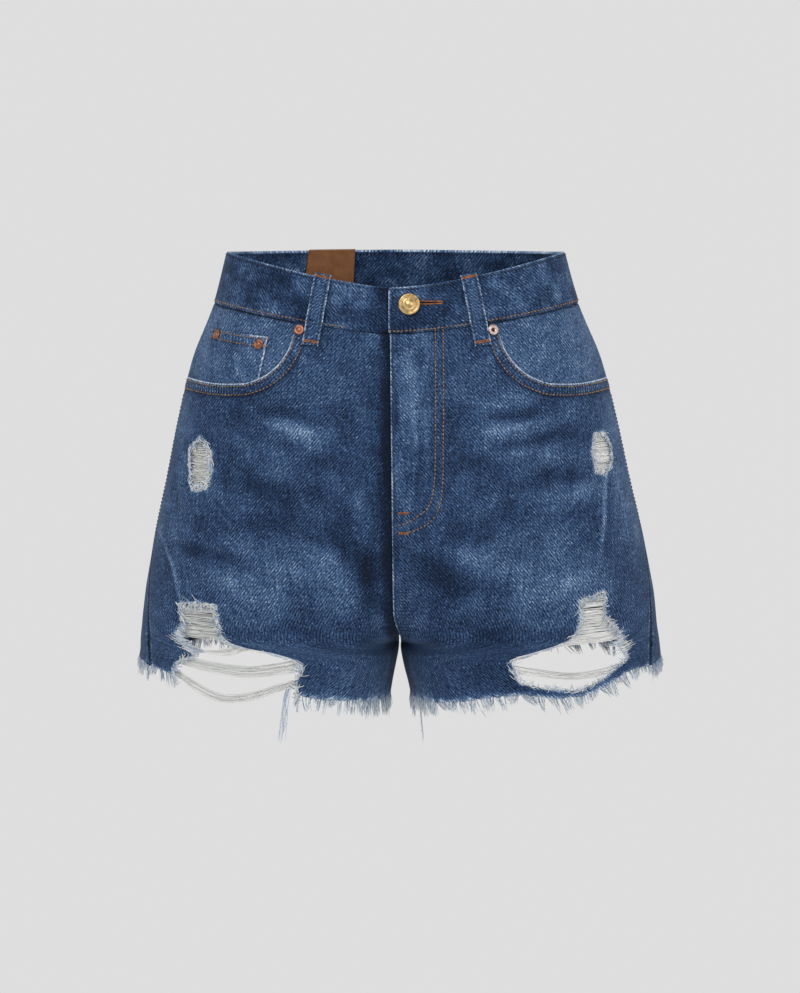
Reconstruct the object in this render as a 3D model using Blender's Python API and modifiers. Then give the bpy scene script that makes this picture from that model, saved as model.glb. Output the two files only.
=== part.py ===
"""Denim shorts, filled out as when worn: a high waist, five pockets, a zip fly, ripped and frayed cut-off hems.

Metres, +Z up. The front faces -Y and +X is the wearer's left. The origin is the middle of the waist, where it is held.
Each cut piece is a solid of its own. All cloth follows one body form, given by rows of section sizes."""

import math

import bpy
import numpy as np
from mathutils import Matrix, Vector
from mathutils.geometry import delaunay_2d_cdt

MM = 0.001
DENIM = 1.2 * MM
LINING = 1.0 * MM
BAND = 2.6 * MM  # two layers and the turnings
LOOP = 1.6 * MM
HIDE = 1.4 * MM  # the leather patch
SEAM = 0.25 * MM  # each edge stands back this far, so that pieces are 0.5 mm apart
LAP = 5.0 * MM  # the left front crosses the middle by this
UNDER = -0.5 * MM  # the right front ends this far short of it, beneath the lap
DRIFT = -0.011  # the garment leans a little to its left as it goes down

# Sections in millimetres, from the waist's top edge (row 0) to the hem (row 9) and the fringe's tips (row 10).
# side: height and half width at the side. seam: degrees the side seam stands forward. inner: the middle line's x.
# front/back middle line: y, z. Fullest point of each: x, y, z. turn: direction in which the cloth leaves the middle.
COLUMNS = "side_z half seam inner cf_y cf_z fx fy fz f_turn cb_y cb_z bx by bz b_turn".split()
ROWS = np.array(
    [
        [20, 134, 0, 0.0, -82, -8, 0, -82, -8, 90, 84, 22, 0, 84, 22, 90],
        [-21, 145, 0, 0.0, -88, -44, 0, -88, -44, 90, 92, -19, 0, 92, -19, 90],
        [-66, 163, 0, 0.0, -97, -86, 8, -97, -86, 90, 107, -64, 16, 108, -64, 90],
        [-114, 175, 0, 0.0, -104, -130, 18, -104.5, -129, 90, 117, -112, 36, 119, -111, 90],
        [-162, 185, -2, 0.0, -108, -173, 30, -109, -172, 90, 121, -160, 52, 125, -158, 90],
        [-210, 196, -8, 0.0, -106, -217, 44, -111, -214, 88, 116, -208, 64, 126, -203, 85],
        [-250, 203, -15, 0.0, -97, -253, 54, -110, -253, 80, 98, -248, 72, 122, -238, 70],
        [-275, 206, -20, 0.3, -72, -280, 60, -107, -280, 45, 66, -276, 76, 116, -261, 40],
        [-290, 208, -23, 0.8, 8, -295, 64, -104, -299, 0, 8, -295, 80, 110, -276, 0],
        [-303, 209, -25, 8.0, 8, -334, 68, -100, -327, 0, 8, -334, 84, 104, -297, 0],
        [-317, 210, -26, 9.0, 8, -351, 70, -99, -342, 0, 8, -351, 86, 102, -311, 0],
    ],
    float,
)
FRONT_LINES = 17
BACK_LINES = 16
ACROSS = 0.235  # metres of cloth that u spans, for spacing points
DOWN = 0.043  # metres of cloth between rows

FIGURE = {}


def slope(k):
    """How fast each column changes at row k, with no swing past a row's own value."""
    before, after = ROWS[k] - ROWS[k - 1], ROWS[k + 1] - ROWS[k]
    same = before * after > 0
    return np.where(same, 2 * before * after / np.where(same, before + after, 1), 0)


def row(w):
    last = len(ROWS) - 1
    i = int(min(max(math.floor(w), 0), last - 1))
    t = min(max(w - i, 0.0), 1.0)
    a, b = ROWS[i], ROWS[i + 1]
    slope_a = slope(i) if i > 0 else b - a
    slope_b = slope(i + 1) if i + 2 <= last else b - a
    mixed = (
        (2 * t**3 - 3 * t**2 + 1) * a
        + (t**3 - 2 * t**2 + t) * slope_a
        + (3 * t**2 - 2 * t**3) * b
        + (t**3 - t**2) * slope_b
    )
    return dict(zip(COLUMNS, mixed + (b - a) * (w - i - t)))


def section(half, w):
    """One quarter of the section at row w, from the middle line to the side seam: points in metres and the length to each."""
    key = (half, round(w, 4))
    if key in FIGURE:
        return FIGURE[key]
    r = row(w)
    front = half == "front"
    s = -1 if front else 1
    c = "f" if front else "b"
    my, mz = (r["cf_y"], r["cf_z"]) if front else (r["cb_y"], r["cb_z"])
    fx, fy, fz = r[c + "x"], r[c + "y"], r[c + "z"]
    turn = math.radians(r[c + "_turn"])
    wide, deep = fx - r["inner"], abs(fy - my)
    lead = np.array([math.sin(turn), s * math.cos(turn)])
    reach = 0.72 * (abs(lead[1]) * deep + abs(lead[0]) * wide)
    p0, p3 = np.array([r["inner"], my]), np.array([fx, fy])
    p1, p2 = p0 + lead * reach, p3 - np.array([0.6 * wide, 0])
    t = np.linspace(0, 1, 90)[:, None]
    xy = (1 - t) ** 3 * p0 + 3 * (1 - t) ** 2 * t * p1 + 3 * (1 - t) * t**2 * p2 + t**3 * p3
    inner = np.column_stack([xy, mz + (fz - mz) * (t * t * (3 - 2 * t))])
    end = math.radians(r["seam"]) * (-1 if front else 1)
    angle = np.linspace(math.pi / 2, end, 110)[1:]
    across, depth = np.abs(np.cos(angle)) ** (2 / 2.25), np.abs(np.sin(angle)) ** (2 / 2.25)
    past = np.sin(angle) < 0  # the back's share of the front quarter
    fx_here = np.where(past, r["fx"], fx)
    fz_here = np.where(past, r["fz"], fz)
    x = fx_here + (r["half"] - fx_here) * across
    y = np.where(past, -abs(r["fy"]), s * abs(fy)) * depth
    share = (x - fx_here) / (r["half"] - fx_here)
    z = r["side_z"] + (fz_here - r["side_z"]) * (1 - np.clip(share, 0, 1) ** 1.5)
    points = np.vstack([inner, np.column_stack([x, y, z])]) * MM
    steps = np.linalg.norm(np.diff(points, axis=0), axis=1)
    points = points[np.concatenate([[True], steps > 1e-8])]
    length = np.concatenate([[0], np.cumsum(np.linalg.norm(np.diff(points, axis=0), axis=1))])
    FIGURE[key] = (points, length)
    return FIGURE[key]


def width(half, w):
    return section(half, w)[1][-1]


def point(half, u, w):
    """The form's surface, u from 0 at the middle line to 1 at the side seam. Below 0 it goes on into the other half."""
    points, length = section(half, w)
    at = abs(u) * length[-1]
    p = np.array([np.interp(at, length, points[:, i]) for i in range(3)])
    return p * (-1 if u < 0 else 1, 1, 1)


def normal(half, u, w):
    du, dw = 0.012, 0.06
    w = min(max(w, 0.0), 10.0)
    along = point(half, min(u + du, 1), w) - point(half, u - du, w)
    down = point(half, u, min(w + dw, 10)) - point(half, u, max(w - dw, 0))
    n = np.cross(down, along) if half == "front" else np.cross(along, down)
    return n / np.linalg.norm(n)


def placed(side, half, u, w, out):
    """A point of the cloth, out metres off the form, on the wearer's left (side 1) or right (side -1)."""
    p = point(half, u, w) + normal(half, u, w) * out
    return Vector((side * p[0] + DRIFT * p[2], p[1], p[2]))


def find(half, x, z):
    """The (u, w) of the form's point at x and z, in millimetres."""
    goal = np.array([x, z]) * MM
    u, w = 0.5, 4.0
    grid = [(a / 20, b / 3) for a in range(1, 21) for b in range(0, 31)]
    u, w = min(grid, key=lambda g: np.linalg.norm(point(half, *g)[[0, 2]] - goal))
    for _ in range(12):
        here = point(half, u, w)[[0, 2]]
        by_u = (point(half, u + 0.002, w)[[0, 2]] - here) / 0.002
        by_w = (point(half, u, w + 0.01)[[0, 2]] - here) / 0.01
        step = np.linalg.lstsq(np.column_stack([by_u, by_w]), goal - here, rcond=None)[0]
        u, w = u + float(np.clip(step[0], -0.05, 0.05)), w + float(np.clip(step[1], -0.4, 0.4))
    return u, w


def smooth(t):
    t = min(max(t, 0.0), 1.0)
    return t * t * (3 - 2 * t)


# ---------------------------------------------------------------- drawing outlines in (u, w)


def straight(a, b, lines):
    """The way from a to b, with a point wherever it crosses a line of the grid."""
    stops = {0.0, 1.0}
    for axis, values in ((0, [i / lines for i in range(lines + 1)]), (1, row_lines())):
        reach = b[axis] - a[axis]
        for value in values:
            if abs(reach) > 1e-9 and 0.004 < (value - a[axis]) / reach < 0.996:
                stops.add((value - a[axis]) / reach)
    ordered = sorted(stops)
    kept = [t for i, t in enumerate(ordered) if i == 0 or t - ordered[i - 1] > 0.004 or t == 1.0]
    return [(a[0] + (b[0] - a[0]) * t, a[1] + (b[1] - a[1]) * t) for t in kept]


def row_lines():
    return [0, 0.5, 1, 1.4, 1.8, 2.3, 3, 3.7, 4.4, 5.1, 5.8, 6.4, 6.9, 7.4, 8, 8.5, 9, 9.5, 10]


def curve(knots, each=3):
    """A smooth line through the knots."""
    found = []
    for i in range(len(knots) - 1):
        k = [np.array(knots[min(max(j, 0), len(knots) - 1)], float) for j in (i - 1, i, i + 1, i + 2)]
        for t in np.arange(each) / each:
            a = 2 * k[1] + (k[2] - k[0]) * t + (2 * k[0] - 5 * k[1] + 4 * k[2] - k[3]) * t**2
            found.append(tuple(0.5 * (a + (3 * k[1] - k[0] - 3 * k[2] + k[3]) * t**3)))
    return found + [tuple(knots[-1])]


def joined(*ways):
    """Ways end to end, without their shared points."""
    found = []
    for way in ways:
        for p in way:
            if not found or math.dist(p, found[-1]) > 1e-3:
                found.append(p)
    if math.dist(found[0], found[-1]) < 1e-3:
        found.pop()
    return found


def fitted(loop, lines=FRONT_LINES):
    """The same outline with a point at each line of the grid, so that it bends with the cloth."""
    return joined(*[straight(a, b, lines) for a, b in zip(loop, loop[1:] + loop[:1])])


def drawn(half, shape):
    return [find(half, x, z) for x, z in shape]


def inside(p, loop):
    found = False
    for a, b in zip(loop, loop[1:] + loop[:1]):
        if (a[1] > p[1]) != (b[1] > p[1]) and p[0] < (b[0] - a[0]) * (p[1] - a[1]) / (b[1] - a[1]) + a[0]:
            found = not found
    return found


def from_edge(p, loop):
    best = 1e9
    for a, b in zip(loop, loop[1:] + loop[:1]):
        a, b, q = np.array(a), np.array(b), np.array(p)
        t = np.clip(np.dot(q - a, b - a) / max(np.dot(b - a, b - a), 1e-12), 0, 1)
        best = min(best, float(np.linalg.norm(q - a - (b - a) * t)))
    return best


# ---------------------------------------------------------------- solids


def colour(name, rgb, metal=0.0, rough=0.85):
    found = bpy.data.materials.get(name) or bpy.data.materials.new(name)
    found.use_nodes = True
    shader = found.node_tree.nodes["Principled BSDF"]
    shader.inputs["Base Color"].default_value = (*rgb, 1)
    shader.inputs["Metallic"].default_value = metal
    shader.inputs["Roughness"].default_value = rough
    return found


def solid(name, mesh, material):
    obj = bpy.data.objects.new(name, mesh)
    bpy.context.scene.collection.objects.link(obj)
    obj.data.materials.append(material)
    return obj


def sheet(name, outline, lift, thick, material, facing, lines=FRONT_LINES, holes=(), spacing=0.0042):
    """A cloth piece. outline and holes are in (u, w), lift gives the place of a point, and the piece is as thick as given, inwards."""
    flat = lambda p: (p[0] * ACROSS, p[1] * DOWN)
    loops = [[flat(p) for p in loop] for loop in (outline, *holes)]
    low, high = np.min(outline, axis=0), np.max(outline, axis=0)
    step = 1 / lines
    inner = []
    for i in range(math.ceil(low[0] / step), math.floor(high[0] / step) + 1):
        for w in row_lines():
            p = flat((i * step, w))
            if low[1] < w < high[1] and inside(p, loops[0]) and not any(inside(p, h) for h in loops[1:]):
                if min(from_edge(p, loop) for loop in loops) > spacing:
                    inner.append(p)
    vertices, edges = [], []
    for loop in loops:
        start = len(vertices)
        vertices += loop
        edges += [(start + i, start + (i + 1) % len(loop)) for i in range(len(loop))]
    vertices += inner
    found = delaunay_2d_cdt([Vector(p) for p in vertices], edges, [], 1, 1e-7)
    points = [tuple(p) for p in found[0]]
    kept = []
    for face in found[2]:
        middle = tuple(np.mean([points[i] for i in face], axis=0))
        if inside(middle, loops[0]) and not any(inside(middle, h) for h in loops[1:]):
            kept.append(tuple(face) if facing > 0 else tuple(reversed(face)))
    used = sorted({i for face in kept for i in face})
    where = {old: new for new, old in enumerate(used)}
    mesh = bpy.data.meshes.new(name)
    mesh.from_pydata(
        [lift(points[i][0] / ACROSS, points[i][1] / DOWN) for i in used],
        [],
        [tuple(where[i] for i in face) for face in kept],
    )
    obj = solid(name, mesh, material)
    wall = obj.modifiers.new("thickness", "SOLIDIFY")
    wall.thickness = thick
    wall.offset = -1
    return obj


def side_sheet(name, side, half, outline, out, thick, material, **more):
    """A cloth piece on one side of one half of the form. out is its outer face's distance off the form, or a function of (u, w)."""
    off = out if callable(out) else lambda u, w: out
    facing = -side if half == "front" else side
    return sheet(name, outline, lambda u, w: placed(side, half, u, w, off(u, w)), thick, material, facing, **more)


def turned(name, profile, around, at, axis, material):
    """A solid of revolution from (radius, height) pairs in millimetres, standing on at, along axis."""
    mesh = bpy.data.meshes.new(name)
    mesh.from_pydata([(r * MM, 0, h * MM) for r, h in profile], [(i, i + 1) for i in range(len(profile) - 1)], [])
    obj = solid(name, mesh, material)
    screw = obj.modifiers.new("round", "SCREW")
    screw.steps = screw.render_steps = around
    screw.use_merge_vertices = True
    screw.merge_threshold = 1e-5
    screw.use_normal_calculate = True
    obj.matrix_world = Matrix.Translation(at) @ axis.to_track_quat("Z", "Y").to_matrix().to_4x4()
    return obj


def ribbon(knots, wide):
    """A strip's outline in (u, w) from its middle line in (x, z) millimetres."""
    middle = np.array(curve(knots, 2))
    along = np.gradient(middle, axis=0)
    across = np.column_stack([-along[:, 1], along[:, 0]]) / np.linalg.norm(along, axis=1)[:, None] * wide / 2
    return drawn("front", [tuple(p) for p in middle + across] + [tuple(p) for p in (middle - across)[::-1]])


# ---------------------------------------------------------------- the pieces' lines, in millimetres on the front

MOUTH = [(78, -37.5), (80.5, -46), (84.5, -57), (96.5, -72), (112.5, -80.5), (128, -83), (145, -82.5)]
MOUTH_END = 2.30  # the row where it meets the side seam
COIN_POCKET = [(146, -39), (124, -43.5), (100.5, -46), (103.5, -60), (107, -75), (110, -92), (133, -98), (157, -93), (154, -79), (150, -58)]
TEAR_RIGHT = [(154, -125), (163, -135), (162.5, -151), (161, -166), (149, -164.5), (144.5, -150), (145, -136), (150, -128)]
TEAR_LEFT = [(153, -122.5), (151, -136), (154, -152), (162, -154), (167.5, -145), (167, -132), (161.5, -122)]
RIP_RIGHT = [(176, -318), (175, -300), (174.5, -279), (166.5, -268), (171.5, -254), (156, -252), (142, -254), (140, -267), (134, -281), (120, -286), (97, -290), (84, -294), (80, -313), (79.5, -335)]
RIP_LEFT = [(139, -250), (140, -265.5), (126.5, -282), (110, -287.5), (94, -292), (86.5, -298), (91.5, -313), (116, -318.5), (139, -320.5), (158, -312), (178, -297), (177, -292), (170.5, -277), (158.5, -263), (158.5, -244)]
HEM_LEFT = [(0.0, 9.0), (0.25, 9.0), (0.39, 9.05), (0.5, 8.88), (0.58, 8.9), (0.65, 9.2), (0.74, 9.5), (0.80, 9.3), (0.91, 8.8), (1.0, 9.0)]
HEM_RIGHT = [(0.0, 9.0), (0.25, 9.0), (0.39, 9.0), (0.5, 8.9), (0.545, 8.75)]
FLY_FACING = [(3.5, -45.5), (38, -44), (37, -100), (37, -150), (33, -175), (22, -190), (9, -196), (3.5, -196), (3.5, -120)]


def hem(side, u):
    if side < 0:
        return float(np.interp(u, *zip(*HEM_RIGHT, (0.88, 8.9), (1.0, 9.0))))
    return float(np.interp(u, *zip(*HEM_LEFT)))


def centre_edge(side, w):
    """How far the front's middle edge stands from the middle line: past it down to the crotch, then short of it."""
    past = LAP if side > 0 else UNDER
    share = 1 - smooth((w - 6.2) / 0.9)
    return (-past * share + SEAM * (1 - share)) / width("front", w)


def front_out(side):
    """The left front lies on the form. The right front sinks beneath it along the middle."""

    def out(u, w):
        d = u * width("front", w)
        depth = 1 - smooth((w - 7.1) / 0.6)
        return -2.2 * MM * depth * (1 - smooth((d - 13 * MM) / (13 * MM)))

    return out if side < 0 else (lambda u, w: 0.0)


def along_side(side, half, w0, w1, u=None):
    edge = 1 - SEAM / 0.2 if u is None else u
    return straight((edge, w0), (edge, w1), FRONT_LINES)


def front(side, name, material):
    top = 1 + SEAM / DOWN
    edge = 1 - SEAM / 0.23
    mouth = [(find("front", *MOUTH[0])[0], top)] + drawn("front", curve(MOUTH, 2))[1:] + [(0.93, MOUTH_END - 0.02), (edge, MOUTH_END)]
    waist = straight((centre_edge(side, top), top), mouth[0], FRONT_LINES)
    seam = straight((edge, MOUTH_END), (edge, hem(side, edge)), FRONT_LINES)
    low = SEAM / 0.28
    hem_line = [(u, hem(side, u)) for u in (0.96, 0.925, 0.9)]
    if side < 0:
        rip = drawn("front", RIP_RIGHT)
        rip[0] = (0.888, hem(side, 0.888))
        rip[-1] = (0.543, 8.75)
        hem_line = [(0.96, hem(side, 0.96)), (0.92, hem(side, 0.92))] + rip
        hem_line += [(u, hem(side, u)) for u in (0.5, 0.45, 0.4, 0.35, 0.3, 0.25, 0.2, 0.15, 0.1, 0.05, low)]
    else:
        hem_line += [(u, hem(side, u)) for u in np.arange(0.85, 0.04, -0.05)] + [(low, hem(side, low))]
    inseam = straight((low, hem(side, low)), (low, 8.0), FRONT_LINES)
    middle = [(centre_edge(side, w), w) for w in sorted(row_lines(), reverse=True) if 1 < w < 8] + [(centre_edge(side, top), top)]
    outline = fitted(joined(waist, mouth, seam, hem_line, inseam, middle))
    holes = [drawn("front", TEAR_RIGHT)] if side < 0 else [drawn("front", TEAR_LEFT), drawn("front", RIP_LEFT)]
    return side_sheet(name, side, "front", outline, front_out(side), DENIM, material, holes=holes)


def facing(side, name, out, material):
    top, edge = 1 + SEAM / DOWN, 1 - SEAM / 0.23
    under = drawn("front", [(60, -70), (72, -88), (100, -104), (132, -109)])
    first = (find("front", 59, -42)[0], top)
    ways = joined(straight(first, (edge, top), FRONT_LINES), straight((edge, top), (edge, 2.85), FRONT_LINES), under[::-1])
    return side_sheet(name, side, "front", fitted(ways), out, DENIM, material)


def pocket_bag(side, name, out, material):
    top, edge = 1 + SEAM / DOWN, 1 - 2.5 * MM / 0.23
    low = drawn("front", [(54, -100), (56, -150), (70, -182), (100, -199), (140, -198), (163, -182)])
    first = (find("front", 54, -42)[0], top)
    ways = fitted(joined([first, (edge, top), (edge, 3.6)], low[::-1]))
    return side_sheet(name, side, "front", ways, out, LINING, material)


YOKE = ((0.0, 2.25), (1.0, 1.65))


def back_yoke(side, name, material):
    low, edge, top, g = SEAM / 0.2, 1 - SEAM / 0.23, 1 + SEAM / DOWN, SEAM / DOWN
    ways = joined(
        straight((low, top), (edge, top), BACK_LINES),
        straight((edge, top), (edge, YOKE[1][1] - g), BACK_LINES),
        straight((edge, YOKE[1][1] - g), (low, YOKE[0][1] - g), BACK_LINES),
        straight((low, YOKE[0][1] - g), (low, top), BACK_LINES),
    )
    return side_sheet(name, side, "back", ways, 0.0, DENIM, material, lines=BACK_LINES)


def back_panel(side, name, material):
    edge, g = 1 - SEAM / 0.23, SEAM / DOWN
    middle = [(SEAM / width("back", w), w) for w in row_lines() if 2.3 < w < 9] + [(SEAM / 0.3, 9.0)]
    ways = joined(
        straight((SEAM / 0.2, YOKE[0][1] + g), (edge, YOKE[1][1] + g), BACK_LINES),
        straight((edge, YOKE[1][1] + g), (edge, 9.0), BACK_LINES),
        straight((edge, 9.0), (SEAM / 0.3, 9.0), BACK_LINES),
        middle[::-1],
    )
    return side_sheet(name, side, "back", ways, 0.0, DENIM, material, lines=BACK_LINES)


def back_pocket(side, name, material):
    corners = [(0.19, 2.95), (0.66, 2.78), (0.63, 4.75), (0.435, 5.15), (0.235, 4.85)]
    ways = joined(*[straight(a, b, BACK_LINES) for a, b in zip(corners, corners[1:] + corners[:1])])
    return side_sheet(name, side, "back", ways, 0.5 * MM + DENIM, DENIM, material, lines=BACK_LINES)


def belt_loop(name, side, half, top, bottom, material, wide=13.0):
    """top and bottom: the (u, w) of its ends' middles. It stands off the cloth between them."""
    steps = [0, 0.1, 0.24, 0.42, 0.6, 0.78, 0.9, 1]
    lift = [1.1, 2.6, 3.6, 4.0, 4.0, 3.4, 1.9, 0.5]
    rows = []
    for s, off in zip(steps, lift):
        u, w = top[0] + (bottom[0] - top[0]) * s, top[1] + (bottom[1] - top[1]) * s
        half_wide = wide * MM / 2 / width(half, w)
        rows.append([placed(side, half, u + k * half_wide, w, off * MM + LOOP) for k in (-1, 0, 1)])
    points = [p for line in rows for p in line]
    faces = []
    for i in range(len(rows) - 1):
        for k in range(2):
            a = i * 3 + k
            faces.append((a, a + 1, a + 4, a + 3))
    if (side > 0) == (half == "front"):
        faces = [tuple(reversed(f)) for f in faces]
    mesh = bpy.data.meshes.new(name)
    mesh.from_pydata(points, [], faces)
    obj = solid(name, mesh, material)
    wall = obj.modifiers.new("thickness", "SOLIDIFY")
    wall.thickness, wall.offset = LOOP, -1
    return obj


def around(a):
    """A place on the whole waist: 0 front middle, 1 left side, 2 back middle, 3 right side, 4 front middle."""
    if a <= 1:
        return 1, "front", a
    if a <= 2:
        return 1, "back", 2 - a
    if a <= 3:
        return -1, "back", a - 2
    return -1, "front", 4 - a


def waistband(material):
    end = find("front", 6, -24)[0]
    under_end = find("front", 29, -26)[0]
    low, high = 0.0, 1 - SEAM / DOWN

    def lift(a, w):
        side, half, u = around(a)
        out = 0.3 * MM
        if side < 0 and half == "front":
            d = u * width("front", w)
            out -= 3.1 * MM * (1 - smooth((d - 12 * MM) / (30 * MM)))
        return placed(side, half, u, w, out)

    def edge(w, back):
        marks = [i / 12 for i in range(1, 48)]
        way = [(-end, w)] + [(m, w) for m in marks] + [(4 + under_end, w)]
        return way[::-1] if back else way

    corner = [(-end, high - 0.04), (-end, 0.5), (-end, 0.12), (-end * 0.9, 0.03), (-end * 0.6, 0.0)]
    outline = joined([(-end * 0.4, low)] + edge(low, False)[2:], [(4 + under_end, 0.5)], edge(high, True), corner)
    eye = [(10 + 3.5 * math.cos(math.radians(t)), -21.3 + 3.5 * math.sin(math.radians(t))) for t in range(30, 331, 30)]
    slit = [(20, -21.6), (30, -20.8), (31, -20), (30, -19), (20, -19.8)]
    slot = drawn("front", eye + slit)
    return sheet("waistband", outline, lift, BAND, material, -1, lines=12, holes=[slot], spacing=0.005)


def fringe(side, name, material):
    """The frayed hem's reach, from the rip round the inside of the leg and the back to the rip's other end."""
    first, last = (0.52, 0.905) if side < 0 else (0.575, 0.925)
    way = [("front", u) for u in (first, 0.45, 0.4, 0.35, 0.3, 0.25, 0.2, 0.15, 0.1, 0.05)]
    way += [("back", u) for u in (0.0, 0.05, 0.1, 0.15, 0.2, 0.3, 0.4, 0.5, 0.6, 0.7, 0.8, 0.85, 0.9, 0.95)]
    way += [("front", u) for u in (1.0, 0.96, last)]
    rows = []
    for half, u in way:
        top = (hem(side, u) if half == "front" else 9.0) + 0.05
        rows.append([placed(side, half, u, w, -0.1 * MM) for w in (top, top + 0.42, top + 0.85)])
    points = [p for line in rows for p in line]
    faces = []
    for i in range(len(rows) - 1):
        for k in range(2):
            a = i * 3 + k
            faces.append((a, a + 1, a + 4, a + 3) if side > 0 else (a, a + 3, a + 4, a + 1))
    mesh = bpy.data.meshes.new(name)
    mesh.from_pydata(points, [], [f[::-1] for f in faces])
    obj = solid(name, mesh, material)
    wall = obj.modifiers.new("thickness", "SOLIDIFY")
    wall.thickness, wall.offset = DENIM, -1
    return obj


def threads(name, side, outline, material, out=-2.0 * MM):
    return side_sheet(name, side, "front", fitted(outline), out, LINING, material)


def grown(shape, by):
    """A shape in millimetres made larger all round, so that its threads run on behind the cloth."""
    p = np.array(shape, float)
    before, after = np.roll(p, 1, axis=0), np.roll(p, -1, axis=0)
    area = np.sum(p[:, 0] * after[:, 1] - after[:, 0] * p[:, 1])
    along = (after - p) / np.linalg.norm(after - p, axis=1)[:, None] + (p - before) / np.linalg.norm(p - before, axis=1)[:, None]
    out = np.column_stack([along[:, 1], -along[:, 0]]) * np.sign(area)
    return [tuple(q) for q in p + out / np.maximum(np.linalg.norm(out, axis=1), 0.6)[:, None] * by]


def box_on(name, side, u, w, size, out, material):
    """A small block in the form's direction: its middle is out metres off it."""
    bpy.ops.mesh.primitive_cube_add(size=1)
    obj = bpy.context.active_object
    obj.name = obj.data.name = name
    n = normal("front", u, w)
    axis = Vector((side * n[0], n[1], n[2]))
    obj.matrix_world = Matrix.Translation(placed(side, "front", u, w, out)) @ axis.to_track_quat("Z", "Y").to_matrix().to_4x4()
    obj.scale = size
    obj.data.materials.append(material)
    return obj


def stud(name, side, x, z, out, profile, around_steps, material):
    u, w = find("front", x, z)
    n = normal("front", u, w)
    turned(name, profile, around_steps, placed(side, "front", u, w, out), Vector((side * n[0], n[1], n[2])), material)


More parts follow.
